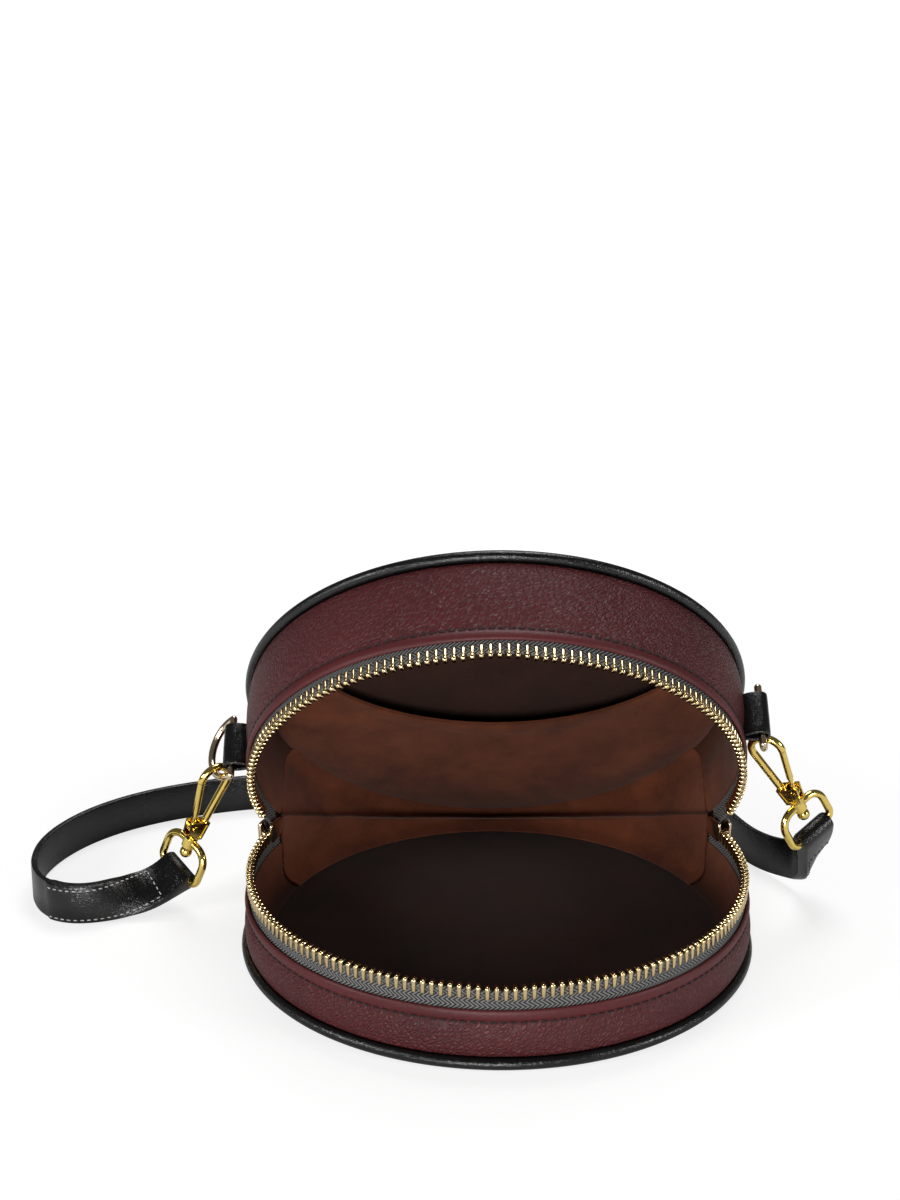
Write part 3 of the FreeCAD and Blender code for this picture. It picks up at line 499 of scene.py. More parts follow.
def edit_some(obj, kind, test):
    """Opens an object for editing with only the faces or edges that pass a test selected."""
    edit(obj)
    bpy.ops.mesh.select_mode(type=kind)
    bpy.ops.mesh.select_all(action="DESELECT")
    close()
    for element in obj.data.polygons if kind == "FACE" else obj.data.edges:
        element.select = test(element)
    bpy.ops.object.mode_set(mode="EDIT")


def named(name):
    """Names the object that was just added, and its mesh."""
    obj = bpy.context.object
    obj.name = name
    obj.data.name = name
    return obj


def block(name, size, middle=(0, 0, 0)):
    """A box of a size, about its middle."""
    fresh()
    bpy.ops.mesh.primitive_cube_add(size=1)
    obj = named(name)
    edit(obj)
    bpy.ops.transform.resize(value=size)
    bpy.ops.transform.translate(value=middle)
    close()
    return obj


def chain(name, points, closed=False):
    """Edges drawn from point to point."""
    fresh()
    bpy.ops.mesh.primitive_plane_add(size=WALL_RADIUS)
    obj = named(name)
    edit(obj)
    bpy.ops.mesh.merge(type="CENTER")
    bpy.ops.transform.translate(value=points[0])
    ring = [*points, points[0]] if closed else points
    for before, after in zip(ring, ring[1:]):
        bpy.ops.mesh.extrude_region_move(TRANSFORM_OT_translate={"value": Vector(after) - Vector(before)})
    if closed:
        bpy.ops.mesh.select_all(action="SELECT")
        bpy.ops.mesh.remove_doubles(threshold=MERGE)
    close()
    return obj


def at(turn, radius, height):
    """A point at a turn from the mouth's middle, towards +X."""
    return Vector((radius * math.sin(turn), -radius * math.cos(turn), height))


def turn_of(point):
    """A point's turn from the mouth's middle, towards +X."""
    return math.atan2(point.x, -point.y)


def spun(name, outline, reach=math.pi, steps=120, closed=False):
    """An outline of radii and heights swept round the bag, reach to each side of the mouth's middle."""
    obj = chain(name, [at(reach, radius, height) for radius, height in outline], closed)
    edit(obj)
    bpy.ops.mesh.spin(steps=steps, angle=2 * reach, center=(0, 0, 0), axis=(0, 0, 1))
    bpy.ops.mesh.select_all(action="SELECT")
    bpy.ops.mesh.remove_doubles(threshold=MERGE)
    if closed and reach < math.pi:
        bpy.ops.mesh.fill_holes(sides=0)
    bpy.ops.mesh.select_all(action="SELECT")
    bpy.ops.mesh.normals_make_consistent(inside=False)
    close()
    return obj


def modified(obj, kind, **settings):
    """Adds a modifier and applies it."""
    take(obj)
    bpy.ops.object.modifier_add(type=kind)
    made = obj.modifiers[-1]
    for key, value in settings.items():
        setattr(made, key, value)
    bpy.ops.object.modifier_apply(modifier=made.name)
    return obj


def rounded(obj, levels=1):
    """Rounds a mesh by dividing its faces."""
    return modified(obj, "SUBSURF", levels=levels, render_levels=levels)


def smooth(obj, angle=None):
    """Shades a mesh smooth, except at edges that are sharper than an angle."""
    take(obj)
    if angle is None:
        bpy.ops.object.shade_smooth()
    else:
        bpy.ops.object.shade_smooth_by_angle(angle=angle)
    return obj


def sculpt(obj, move):
    """Moves each point of a mesh."""
    for vertex in obj.data.vertices:
        vertex.co = move(vertex.co.copy())
    obj.data.update()
    return obj


def placed(obj, matrix):
    """Moves a mesh to its place and leaves its object at the origin."""
    take(obj)
    obj.matrix_world = matrix
    bpy.ops.object.transform_apply(location=True, rotation=True, scale=True)
    return obj


def pattern(obj, places):
    """Turns an object into one mesh of its copies."""
    model = obj.data.copy()
    joined = bmesh.new()
    for matrix in places:
        copy = model.copy()
        copy.transform(matrix)
        joined.from_mesh(copy)
        bpy.data.meshes.remove(copy)
    joined.to_mesh(obj.data)
    joined.free()
    bpy.data.meshes.remove(model)
    return obj


def fresh_map(obj):
    """An empty map in place of a mesh's first one."""
    while obj.data.uv_layers:
        obj.data.uv_layers.remove(obj.data.uv_layers[0])
    return obj.data.uv_layers.new(name="run")


def unrolled(obj):
    """A flat map of a round band: its run round the bag and its height, in metres."""
    layer = fresh_map(obj)
    for loop in obj.data.loops:
        point = obj.data.vertices[loop.vertex_index].co
        layer.data[loop.index].uv = (turn_of(point) * WALL_RADIUS, point.z)
    return obj


def flattened(obj):
    """A flat map of a flat piece, in metres."""
    layer = fresh_map(obj)
    for loop in obj.data.loops:
        layer.data[loop.index].uv = obj.data.vertices[loop.vertex_index].co.xy
    return obj


def marked(obj, name, level):
    """Gives each point a mark from 0 to 1, for its finish."""
    marks = obj.data.attributes.new(name, "FLOAT", "POINT")
    for vertex in obj.data.vertices:
        marks.data[vertex.index].value = clamped(level(vertex.co))
    return obj


def hemmed(obj, seam, width):
    """Marks the points past a seam line as hem, for the leather's finish."""
    return marked(obj, "hem", lambda point: (point.z - seam) / width)


def finished(obj, finish):
    """Gives a piece its finish alone."""
    obj.data.materials.clear()
    obj.data.materials.append(MATERIALS[finish])


def worn(obj, finish):
    """Gives a piece its finish."""
    finished(obj, finish)
    return obj


def fixed(obj, body, *nodes):
    """Makes a piece move with a body and stand for its nodes."""
    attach(obj, body)
    if nodes:
        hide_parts(*nodes)
    return obj


def frame_at(turn, radius, height):
    """A place on a round wall: X along it, Y outwards, Z up."""
    along = Vector((-math.cos(turn), -math.sin(turn), 0))
    out = Vector((math.sin(turn), -math.cos(turn), 0))
    up = Vector((0, 0, 1))
    return Matrix.Translation(at(turn, radius, height)) @ Matrix((along, out, up)).transposed().to_4x4()


def axes_at(origin, x_axis, z_axis):
    """The place with given X and Z axes."""
    y_axis = z_axis.cross(x_axis)
    return Matrix.Translation(origin) @ Matrix((x_axis, y_axis, z_axis)).transposed().to_4x4()


def halves(s):
    """Each half's place, and the height of its zip over its own panel."""
    turned_over = Matrix.Translation((0, 0, s.closed_depth)) @ Matrix.Rotation(math.pi, 4, "Y")
    return {
        "base": (Matrix.Identity(4), SPLIT_HEIGHT),
        "lid": (LID_OPEN @ turned_over, s.closed_depth - SPLIT_HEIGHT),
    }


def zip_radius(s):
    """Radius of the zip's middle."""
    return WALL_RADIUS - s.leather - SEAM - s.tape_thickness / 2


def reach_past(setback, radius):
    """The turn from the mouth's middle to a point setback behind the bag's middle."""
    return math.pi / 2 + math.asin(setback / radius)


def stitch(name, run, thread):
    """One stitch: a short thread with rounded ends, sunk at both."""
    fresh()
    bpy.ops.mesh.primitive_uv_sphere_add(segments=8, ring_count=6, radius=thread / 2)
    obj = named(name)
    edit(obj)
    bpy.ops.transform.rotate(value=math.pi / 2, orient_axis="Y", center_override=(0, 0, 0))
    bpy.ops.transform.resize(value=(run / thread, 1, 1))
    close()
    return smooth(obj)


# ---- Pieces

# Where the wall bellies, as shares of its height and of its swell.
BELLY_SHARES = ((0.05, -0.6), (0.18, 0.5), (0.5, 1.0), (0.82, 0.6))
# The waves that make an uneven line: their count round the bag, their shift and their share.
WAVE_SHARES = ((5, 1.0, 0.5), (9, 2.3, 0.3), (14, 0.7, 0.2))


def wave(turn):
    """An uneven line round the bag, from -1 to 1."""
    return sum(share * math.sin(count * turn + shift) for count, shift, share in WAVE_SHARES)


def wall_outline(s, edge):
    """Section through a wall: belly, stitched dip, rolled hem and inside."""
    seam = edge - s.hem_width
    outer = WALL_RADIUS
    inner = outer - s.leather
    belly = [(outer + s.wall_swell * swell, WALL_FOOT + (seam - WALL_FOOT) * share)
             for share, swell in BELLY_SHARES]
    hem = [
        (outer - s.stitch_dip, seam),
        (outer + s.wall_swell / 2, seam + s.hem_width * 0.3),
        (outer + s.wall_swell / 2, edge - s.hem_width * 0.2),
        (outer - s.leather * 0.3, edge),
        (inner + s.leather * 0.2, edge),
        (inner, edge - s.hem_width * 0.3),
        (inner, seam),
    ]
    return [(inner, WALL_FOOT), (outer - s.wall_swell, WALL_FOOT)] + belly + hem


def build_walls(s):
    """Leather walls with their hems and stitches."""
    reach = reach_past(WALL_END, WALL_RADIUS)
    for half, (place, height) in halves(s).items():
        edge = height - (s.base_hem_gap if half == "base" else s.lid_hem_gap)
        wall = spun(f"{half}_leather", wall_outline(s, edge), reach, ROUND_STEPS["wall"], True)
        rounded(wall, 2)
        seam = edge - s.hem_width

        def uneven(point):
            share = (point.z - WALL_FOOT) / (seam - WALL_FOOT)
            lift = math.sin(math.pi * share) if 0 < share < 1 else 0.0
            turn = turn_of(point)
            radius = math.hypot(point.x, point.y)
            return at(turn, radius + s.wall_wave * lift * wave(turn), point.z)

        sculpt(wall, uneven)
        unrolled(hemmed(wall, seam, s.hem_width / 4))
        worn(smooth(placed(wall, place)), "leather")
        fixed(wall, half, f"{half}_wall")
        radius = WALL_RADIUS - s.stitch_dip * 0.4
        count = int(2 * reach * radius / s.stitch_pitch)
        turns = [reach * (2 * number / count - 1) for number in range(1, count)]
        row = stitch(f"{half}_hem_stitches", s.stitch_length, s.thread)
        pattern(row, [place @ frame_at(turn, radius, seam) for turn in turns])
        fixed(worn(row, "thread"), half)


# Out from a panel's middle: shares of its radius and of its crown.
CROWN_SHARES = ((0.0, 1.0), (0.4, 0.9), (0.75, 0.6))


def build_panels(s):
    """Round leather panels: the lid's is slightly domed."""
    for half, (place, _) in halves(s).items():
        crown = s.panel_crown if half == "lid" else 0.0
        edge = PANEL_THICKNESS / 3
        outline = [(PANEL_RADIUS * share, -crown * rise) for share, rise in CROWN_SHARES]
        outline += [(PANEL_RADIUS - 3 * edge, -crown * 0.1), (PANEL_RADIUS - edge, edge / 3),
                    (PANEL_RADIUS, edge), (PANEL_RADIUS, PANEL_THICKNESS), (0.0, PANEL_THICKNESS)]
        panel = flattened(spun(f"{half}_face", outline, math.pi, ROUND_STEPS["panel"]))
        smooth(placed(panel, place), FIRM_EDGE)
        fixed(worn(panel, "leather"), half, f"{half}_panel")


PIPING_POINTS = 10
# How uneven the piping is, as a share of its thickness.
PIPING_WAVE = 0.012


def build_piping(s):
    """Black piping round both panels."""
    centre = RIM_RADIUS - PIPING_RADIUS
    turns = [2 * math.pi * number / PIPING_POINTS for number in range(PIPING_POINTS)]
    outline = [(centre + PIPING_RADIUS * math.cos(t), PIPING_RADIUS * (1 + math.sin(t))) for t in turns]
    for half, (place, _) in halves(s).items():
        piping = spun(f"{half}_welt", outline, math.pi, ROUND_STEPS["piping"], True)

        def rolled(point):
            turn = turn_of(point)
            lift = 1.0 + PIPING_WAVE * wave(3 * turn)
            radius = centre + (math.hypot(point.x, point.y) - centre) * lift
            return at(turn, radius, point.z)

        rounded(sculpt(piping, rolled), 1)
        smooth(placed(piping, place))
        fixed(worn(piping, "black"), half, f"{half}_piping")


def turned_up(radius, foot, top, bend, steps):
    """Section of a sheet that lies on a floor, bends up and runs on to its top."""
    turns = [math.pi / 2 * number / 6 for number in range(7)]
    curve = [(radius - bend + bend * math.sin(t), foot + bend - bend * math.cos(t)) for t in turns]
    rise = top - foot - bend
    return curve + [(radius, foot + bend + rise * number / steps) for number in range(1, steps + 1)]


# How far the side's foot stands over the floor it is sewn to, in thicknesses of the lining.
LAP_RISE = 1.06


def build_linings(s):
    """Lining of both halves: a floor over the board and a side that turns up inside the wall."""
    radius = WALL_RADIUS - s.lining_gap
    reach = reach_past(WALL_END, WALL_RADIUS) + s.lining_lap / radius
    for half, (place, height) in halves(s).items():
        foot = LINING_FLOOR + s.lining / 2
        top = height - s.lining_hem
        flat = radius - s.lining_bend / 2
        rings = [(flat * number / 10, foot) for number in range(11)]
        floor = spun(f"{half}_lining_floor", rings, math.pi, ROUND_STEPS["panel"])
        outline = turned_up(radius, foot + s.lining * LAP_RISE, top, s.lining_bend, 9)
        side = spun(f"{half}_lining_cloth", outline, reach, ROUND_STEPS["lining"])
        take(side)
        floor.select_set(True)
        bpy.ops.object.join()

        def slack(point):
            turn = turn_of(point)
            out = math.hypot(point.x, point.y)
            share = clamped((point.z - foot) / (top - foot))
            pucker = math.sin(math.pi * share) * (0.5 + 0.5 * wave(4 * turn + 9 * share))
            rim = out / radius
            ripple = (0.5 + 0.5 * math.sin(13 * turn + 60 * out)) * (1 - share) * rim ** 3 * (1 - rim)
            return at(turn, out - s.lining_slack * pucker, point.z + s.lining_slack * ripple)

        sculpt(side, slack)
        # Painted shade: this mark darkens the lining towards its floor.
        marked(side, "depth", lambda point: (1.0 - (point.z - foot) / (top - foot)) ** 2)
        modified(side, "SOLIDIFY", thickness=s.lining, offset=0.0)
        smooth(placed(side, place), SOFT_EDGE)
        fixed(worn(side, "lining"), half, f"{half}_lining")


# Shares of the pocket's mouth that its sheet, its stitches and its hem run along.
POCKET_REACH = 0.995
POCKET_ROW_REACH = 0.94
HEM_REACH = 0.93
# The two rows of stitches, in widths of the hem from its edge, and how wide the hem is drawn.
POCKET_ROWS = (0.3, 1.0)
HEM_WIDTH_SHARE = 1.12
# A small step on the sheet, as a share of its width or depth.
NEARBY = 0.01


def build_pocket(s):
    """Slip pocket: a slack sheet sewn in at its round edge, with a hemmed mouth that dips in the middle."""
    place, _ = halves(s)["lid"]
    base = LINING_FLOOR + 2 * s.lining
    depth = s.pocket_mouth - s.pocket_curve
    # The mouth's end is where its arc meets the sewn edge.
    corner_y = (s.pocket_radius ** 2 - s.pocket_curve ** 2 + depth ** 2) / (2 * depth)
    corner_x = math.sqrt(s.pocket_radius ** 2 - corner_y ** 2)
    corner_turn = math.atan2(corner_x, corner_y)

    def mouth(across):
        x = corner_x * across
        return Vector((x, depth + math.sqrt(s.pocket_curve ** 2 - x * x), 0))

    def sewn(across):
        turn = corner_turn * across
        return Vector((math.sin(turn), math.cos(turn), 0)) * s.pocket_radius

    def lift(across, down):
        full = (1 - down ** 5) * (1 - abs(across) ** 6)
        sag = 0.35 * (1 - across * across) * (1 - down) ** 3
        slack = 0.08 * math.sin(7 * across + 2) * math.sin(math.pi * down) * (1 - across * across)
        return base + s.pocket_gap * full * (0.85 + sag + slack)

    def on_sheet(across, down):
        flat = mouth(across).lerp(sewn(across), down)
        return Vector((flat.x, flat.y, lift(across, down)))

    fresh()
    bpy.ops.mesh.primitive_grid_add(x_subdivisions=64, y_subdivisions=36, size=2)
    sheet = named("pocket_sheet")
    sculpt(sheet, lambda point: on_sheet(point.x * POCKET_REACH, (point.y + 1) / 2))
    modified(sheet, "SOLIDIFY", thickness=s.lining, offset=0.0)
    edit(sheet)
    bpy.ops.mesh.normals_make_consistent(inside=False)
    close()
    smooth(placed(sheet, place), SOFT_EDGE)
    fixed(worn(sheet, "lining"), "lid", "slip_pocket")
    places = []
    for inset in POCKET_ROWS:
        down = inset * s.pocket_hem / (s.pocket_radius - s.pocket_mouth)
        count = int(2 * corner_x * POCKET_ROW_REACH / s.stitch_pitch)
        for number in range(count):
            across = POCKET_ROW_REACH * (2 * (number + 0.5) / count - 1)
            here = on_sheet(across, down)
            along = (on_sheet(across + NEARBY, down) - here).normalized()
            up = along.cross(on_sheet(across, down + NEARBY) - here).normalized()
            places.append(place @ axes_at(here + up * s.lining * 0.55, along, up))
    row = pattern(stitch("pocket_stitches", s.stitch_length, s.strap_thread), places)
    fixed(worn(row, "brown_thread"), "lid")
    hem = make_pocket_hem(s, on_sheet, place)
    fixed(worn(hem, "lining"), "lid")


def make_pocket_hem(s, on_sheet, place):
    """The turned-over hem along the pocket's mouth."""
    fresh()
    bpy.ops.mesh.primitive_grid_add(x_subdivisions=80, y_subdivisions=4, size=2)
    hem = named("pocket_hem")
    wide = HEM_WIDTH_SHARE * s.pocket_hem / (s.pocket_radius - s.pocket_mouth)

    def laid(point):
        share = (point.y + 1) / 2
        bulge = math.sin(math.pi * share) * 0.35 + 0.75
        return on_sheet(point.x * HEM_REACH, wide * share) + Vector((0, 0, s.lining * bulge))

    sculpt(hem, laid)
    modified(hem, "SOLIDIFY", thickness=s.lining * 0.8, offset=0.0)
    return smooth(placed(hem, place), SOFT_EDGE)


# Rows of the gusset from foot to head, and rounds of halving that settle where a point folds to.
GUSSET_LEVELS = 48
FOLD_ROUNDS = 40


def folded(point, start, end):
    """A point of the closed rear wall, carried to where it lies with the lid open."""
    line = end - start
    low, high = 0.0, 1.0
    place = point
    for _ in range(FOLD_ROUNDS):
        share = (low + high) / 2
        turn = Matrix.Rotation(-OPEN_ANGLE * share, 4, "X")
        place = HINGE + turn @ (point - HINGE)
        if eased((place - start).dot(line) / line.length_squared) > share:
            low = share
        else:
            high = share
    return place


def build_gusset(s):
    """Leather and lining behind the zip ends, folded inwards as they lie with the lid open."""
    half = OPEN_ANGLE / 2
    normal = Vector((0, math.sin(half), math.cos(half)))
    foot = WALL_FOOT + s.leather / 2
    head = s.closed_depth - foot
    low = Vector((0, WALL_RADIUS - s.leather / 2, foot))
    high = LID_OPEN @ Vector((0, WALL_RADIUS - s.leather / 2, head))
    start = normal * low.dot(normal)
    end = normal * high.dot(normal)
    reach = math.pi - reach_past(WALL_END + SEAM, WALL_RADIUS)
    cloth = s.lining_gap + s.lining * 1.3
    layers = {
        "gusset_leather": (s.leather / 2, s.leather, 0.0, s.wall_wave,
                           "leather", "burgundy_leather", "hinge_gusset"),
        "gusset_cloth": (cloth, s.lining, s.lining_bend, s.gusset_crease,
                         "lining", "lining", "gusset_lining"),
    }
    for name, (inset, thickness, bend, slack, finish, slot, node) in layers.items():
        radius = WALL_RADIUS - inset
        levels = []
        for number in range(GUSSET_LEVELS + 1):
            height = foot + (head - foot) * number / GUSSET_LEVELS
            near = min(height - foot, head - height)
            drawn = bend - math.sqrt(bend ** 2 - (bend - near) ** 2) if near < bend else 0.0
            levels.append((radius - drawn, height))
        sheet = unrolled(spun(name, levels, reach, ROUND_STEPS["gusset"]))
        placed(sheet, Matrix.Rotation(math.pi, 4, "Z"))

        def creased(point):
            turn = math.atan2(point.x, point.y)
            share = (point.z - foot) / (head - foot)
            edge = math.sin(math.pi * share) * math.cos(turn * math.pi / 2 / reach)
            pull = slack * edge * (0.6 + 0.4 * wave(3 * turn + 4 * share))
            return point - Vector((point.x, point.y, 0)).normalized() * pull

        sculpt(sheet, creased)
        modified(sheet, "SOLIDIFY", thickness=thickness, offset=0.0)
        sculpt(sheet, lambda point: folded(point, start, end))
        smooth(worn(sheet, finish), SOFT_EDGE)
        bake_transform(sheet)
        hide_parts(node)


# A row's shift in pitches. The lid is turned over, so the same shift sets its teeth between the base's.
TOOTH_SHIFT = 0.25
# Each step up a tooth's head: its rise as a share of the head, and how far it widens or narrows.
TOOTH_HEAD_SHARES = ((0.22, 1.1, 1.14), (0.5, 1.0, 1.0), (0.28, 0.55, 0.66))
# A tooth's bevel as a share of its thickness, and the bead along the tape's edge in thicknesses of tape.
TOOTH_BEVEL = 0.16
TAPE_BEAD = 0.9


def make_tooth(s, name):
    """One zip tooth: a leg clamped on the tape and a rounded head that reaches over the zip's middle."""
    neck = s.tooth_reach - s.tooth_head
    size = (s.tooth_thickness, s.tooth_width, s.tooth_leg)
    tooth = block(name, size, (0, 0, neck - s.tooth_leg / 2))
    edit_some(tooth, "FACE", lambda face: face.normal.z > 0.9)
    for rise, wide, deep in TOOTH_HEAD_SHARES:
        bpy.ops.mesh.extrude_region_move(TRANSFORM_OT_translate={"value": (0, 0, s.tooth_head * rise)})
        bpy.ops.transform.resize(value=(wide, deep, 1))
    bpy.ops.mesh.select_all(action="SELECT")
    bpy.ops.mesh.bevel(offset=s.tooth_thickness * TOOTH_BEVEL, segments=1, affect="EDGES")
    close()
    return smooth(tooth, FIRM_EDGE)


def parted(s, turn):
    """How far a row gives way at a turn: room for the sliders' posts where they meet, in front."""
    return s.zip_part * (1.0 - eased((abs(turn) * zip_radius(s) - s.zip_part_run) / s.zip_part_ease))


def build_zip(s):
    """Zip tapes and teeth of both halves."""
    chain_radius = zip_radius(s)
    for half, (place, height) in halves(s).items():
        end = WALL_END
        if half == "lid":
            # With the bag open, the two tapes' edges meet just behind the hinge.
            end = min(end, HINGE.y + s.tape_edge / math.tan(OPEN_ANGLE / 2) - SEAM)
        reach = reach_past(end, chain_radius)
        inner, outer = chain_radius - s.tape_thickness / 2, chain_radius + s.tape_thickness / 2
        top = height - s.tape_edge
        bead = s.tape_thickness * TAPE_BEAD
        fat_outer, fat_inner = outer + bead / 3, inner - bead / 3
        outline = [
            (inner, top - s.tape_width), (outer, top - s.tape_width), (outer, top - 3 * bead),
            (fat_outer, top - 2 * bead), (fat_outer, top - bead / 2), (chain_radius, top),
            (fat_inner, top - bead / 2), (fat_inner, top - 2 * bead), (inner, top - 3 * bead),
        ]
        tape = spun(f"{half}_tape", outline, reach, ROUND_STEPS["tape"], True)
        unrolled(tape)

        def give(point):
            free = point.z > top - s.tape_width / 2
            return point - Vector((0, 0, parted(s, turn_of(point)) if free else 0.0))

        sculpt(tape, give)
        smooth(placed(tape, place), SOFT_EDGE)
        fixed(worn(tape, "tape"), half, f"{half}_zip_tape")
        step = s.tooth_pitch / chain_radius
        reach = reach_past(HINGE.y - (s.lid_zip_setback if half == "lid" else 0.0), chain_radius)
        count = int(reach / step)
        turns = [step * (number + TOOTH_SHIFT) for number in range(-count - 1, count + 1)]
        places = [place @ frame_at(t, chain_radius, height - parted(s, t)) for t in turns
                  if abs(t) < reach - step / 2]
        teeth = pattern(make_tooth(s, f"{half}_teeth"), places)
        fixed(worn(teeth, "zip_gold"), half, f"{half}_zip_teeth")


# A slider's corners as a share of its tail's width, its edges as a share of its plate's thickness, and
# its post's way in from the end in thicknesses of plate.
PLATE_CORNER = 0.28
PLATE_EDGE = 0.28
CROWN_EDGE = 0.3
POST_SETBACK = 1.6


def slider_plate(s, name, ahead):
    """One plate of a slider in the XZ plane: wider at its post, with round corners and edges."""
    plate = block(name, (s.slider_length, s.slider_plate, s.slider_head))
    narrow = s.slider_tail / s.slider_head

    def tapered(point):
        return Vector((point.x, point.y, point.z * (1.0 if point.x * ahead > 0 else narrow)))

    sculpt(plate, tapered)

    def through(edge):
        first, second = (plate.data.vertices[index].co for index in edge.vertices)
        return abs(first.y - second.y) > s.slider_plate / 2

    edit_some(plate, "EDGE", through)
    bpy.ops.mesh.bevel(offset=s.slider_tail * PLATE_CORNER, segments=5, affect="EDGES")
    close()
    return modified(plate, "BEVEL", width=s.slider_plate * PLATE_EDGE, segments=2, limit_method="ANGLE")


def slider_crown(s, name):
    """The arch that holds the pull, standing on Y = 0."""
    half = s.crown_span / 2
    turns = [math.pi * number / 12 for number in range(13)]
    rise = s.crown_height - s.slider_plate / 2
    reach = half - s.slider_plate / 2
    points = [(0, rise * math.sin(t) ** 0.6, -reach * math.cos(t)) for t in turns]
    crown = chain(name, [Vector(point) - Vector((s.crown_width / 2, 0, 0)) for point in points])
    edit(crown)
    bpy.ops.mesh.extrude_region_move(TRANSFORM_OT_translate={"value": (s.crown_width, 0, 0)})
    close()
    modified(crown, "SOLIDIFY", thickness=s.slider_plate, offset=0.0)
    return modified(crown, "BEVEL", width=s.slider_plate * CROWN_EDGE, segments=2, limit_method="ANGLE")


def build_sliders(s):
    """Zip sliders: two rounded plates, the post between them and the arch for the pull."""
    for side, ahead in SIDES.items():
        pull = Vector(JOINTS[f"pull_{side}_swing"]["pos_m"])
        out = Vector((pull.x, pull.y, 0)).normalized()
        up = Vector((0, 0, 1))
        place = axes_at(out * zip_radius(s) + up * SPLIT_HEIGHT, out.cross(up), up)
        middle = s.slider_room + s.slider_plate / 2
        body = slider_plate(s, f"slider_{side}_body", ahead)
        placed(body, Matrix.Translation((0, middle, 0)))
        inner = placed(slider_plate(s, "inner_plate", ahead), Matrix.Translation((0, -middle, 0)))
        crown = placed(slider_crown(s, "crown"), Matrix.Translation((0, middle, 0)))
        head = ahead * (s.slider_length / 2 - POST_SETBACK * s.slider_plate)
        post = block("post", (s.slider_post_run, 2 * middle, s.slider_post), (head, 0, 0))
        for part in (inner, crown, post):
            modified(body, "BOOLEAN", operation="UNION", object=part, solver="EXACT")
            bpy.data.objects.remove(part)
        smooth(placed(body, place), FIRM_EDGE)
        fixed(worn(body, "pale_gold"), f"slider_{side}", f"slider_{side}")


# Down a tab's side from the wall to its bar: shares of that way and of its width.
TAB_SIDE_SHARES = ((1.0, 0.5), (0.8, 0.72), (0.55, 0.95), (0.28, 1.05))


def build_tabs(s):
    """Leather tabs that hold the rings to the lid."""
    axis_point = LID_OPEN @ Vector((0, 0, 0))
    depth = (LID_OPEN.to_3x3() @ Vector((0, 0, 1))).normalized()
    for side in SIDES:
        bar = Vector(JOINTS[f"ring_{side}_swing"]["pos_m"])
        out = bar - axis_point
        stand = (out - depth * out.dot(depth)).length
        out = (out - depth * out.dot(depth)).normalized()
        wall = WALL_RADIUS - stand - s.leather * 0.3
        wire = s.ring_wire / 2 + s.tab_leather * 0.75
        across = depth.cross(out)
        turns = [math.pi * number / 10 - math.pi / 2 for number in range(11)]
        bend = [(wire * math.cos(t), wire * math.sin(t)) for t in turns]
        sides = [(wall * share, wire * wide) for share, wide in TAB_SIDE_SHARES]
        outline = [(d, -w) for d, w in sides] + bend + sides[::-1]
        half_width = depth * (s.tab_width / 2)
        tab = chain(f"tab_{side}_leather", [bar + out * d + across * w - half_width for d, w in outline])
        edit(tab)
        bpy.ops.mesh.extrude_region_move(TRANSFORM_OT_translate={"value": half_width * 2})
        bpy.ops.mesh.select_all(action="SELECT")
        bpy.ops.mesh.normals_make_consistent(inside=False)
        close()
        modified(tab, "SOLIDIFY", thickness=s.tab_leather, offset=0.0)
        modified(tab, "BEVEL", width=s.tab_leather * 0.3, segments=2, limit_method="ANGLE")
        smooth(rounded(tab, 1), FIRM_EDGE)
        fixed(worn(tab, "black"), "lid", f"tab_{side}")


# ---- Shoulder strap

# The strap's route on the floor, from the left loop round behind the bag to the right loop.
STRAP_ROUTE = (
    (-0.137, 0.021), (-0.156, 0.012), (-0.171, 0.017), (-0.179, 0.034), (-0.178, 0.057), (-0.166, 0.080),
    (-0.146, 0.098), (-0.120, 0.110), (-0.092, 0.117), (-0.040, 0.121), (0.020, 0.120), (0.054, 0.122),
    (0.069, 0.135), (0.067, 0.152), (0.048, 0.161), (0.010, 0.162), (-0.028, 0.161), (-0.052, 0.165),
    (-0.065, 0.178), (-0.062, 0.195), (-0.044, 0.204), (-0.002, 0.206), (0.038, 0.204), (0.064, 0.192),
    (0.077, 0.170), (0.084, 0.140), (0.089, 0.108), (0.096, 0.078), (0.107, 0.054),
)
# Each end: where it lies on its loop's bar, the point it leads off to, and the way that its edge points.
STRAP_ENDS = {
    "left": {"bar": (-0.1217, 0.0288, 0.0139), "lead": (-0.1280, 0.0250, 0.0105),
             "edge": (-0.675, 0.661, 0.327)},
    "right": {"bar": (0.1206, 0.0230, 0.0328), "lead": (0.1250, 0.0300, 0.0160),
              "edge": (0.721, 0.481, 0.499)},
}
# Widths of strap over which it turns from a bar's way to upright.
STRAP_TURN = 2.6
# Radii of a strap's eye over which it closes again behind a bar.
STRAP_GRIP = 3.2
# In widths of strap: the stitches' way in from its edges, and from the bar. Then the thread's share of
# a stitch.
STITCH_INSET = 0.11
STITCH_START = 0.75
STITCH_FILL = 0.7


def strap_line(s):
    """Points of the strap's smooth middle line, from bar to bar."""
    middle = s.strap_floor_gap + s.strap_width / 2
    left, right = STRAP_ENDS["left"], STRAP_ENDS["right"]
    route = [left["bar"], left["lead"]]
    route += [(x, y, middle) for x, y in STRAP_ROUTE]
    route += [right["lead"], right["bar"]]
    fresh()
    bpy.ops.curve.primitive_nurbs_path_add()
    curve = bpy.context.object
    spline = curve.data.splines[0]
    spline.points.add(len(route) - len(spline.points))
    for point, place in zip(spline.points, route):
        point.co = (*place, 1)
    spline.order_u = 3
    spline.use_endpoint_u = True
    spline.resolution_u = 16
    bpy.context.view_layer.update()
    mesh = bpy.data.meshes.new_from_object(curve)
    points = [vertex.co.copy() for vertex in mesh.vertices]
    bpy.data.meshes.remove(mesh)
    bpy.data.objects.remove(curve)
    return points


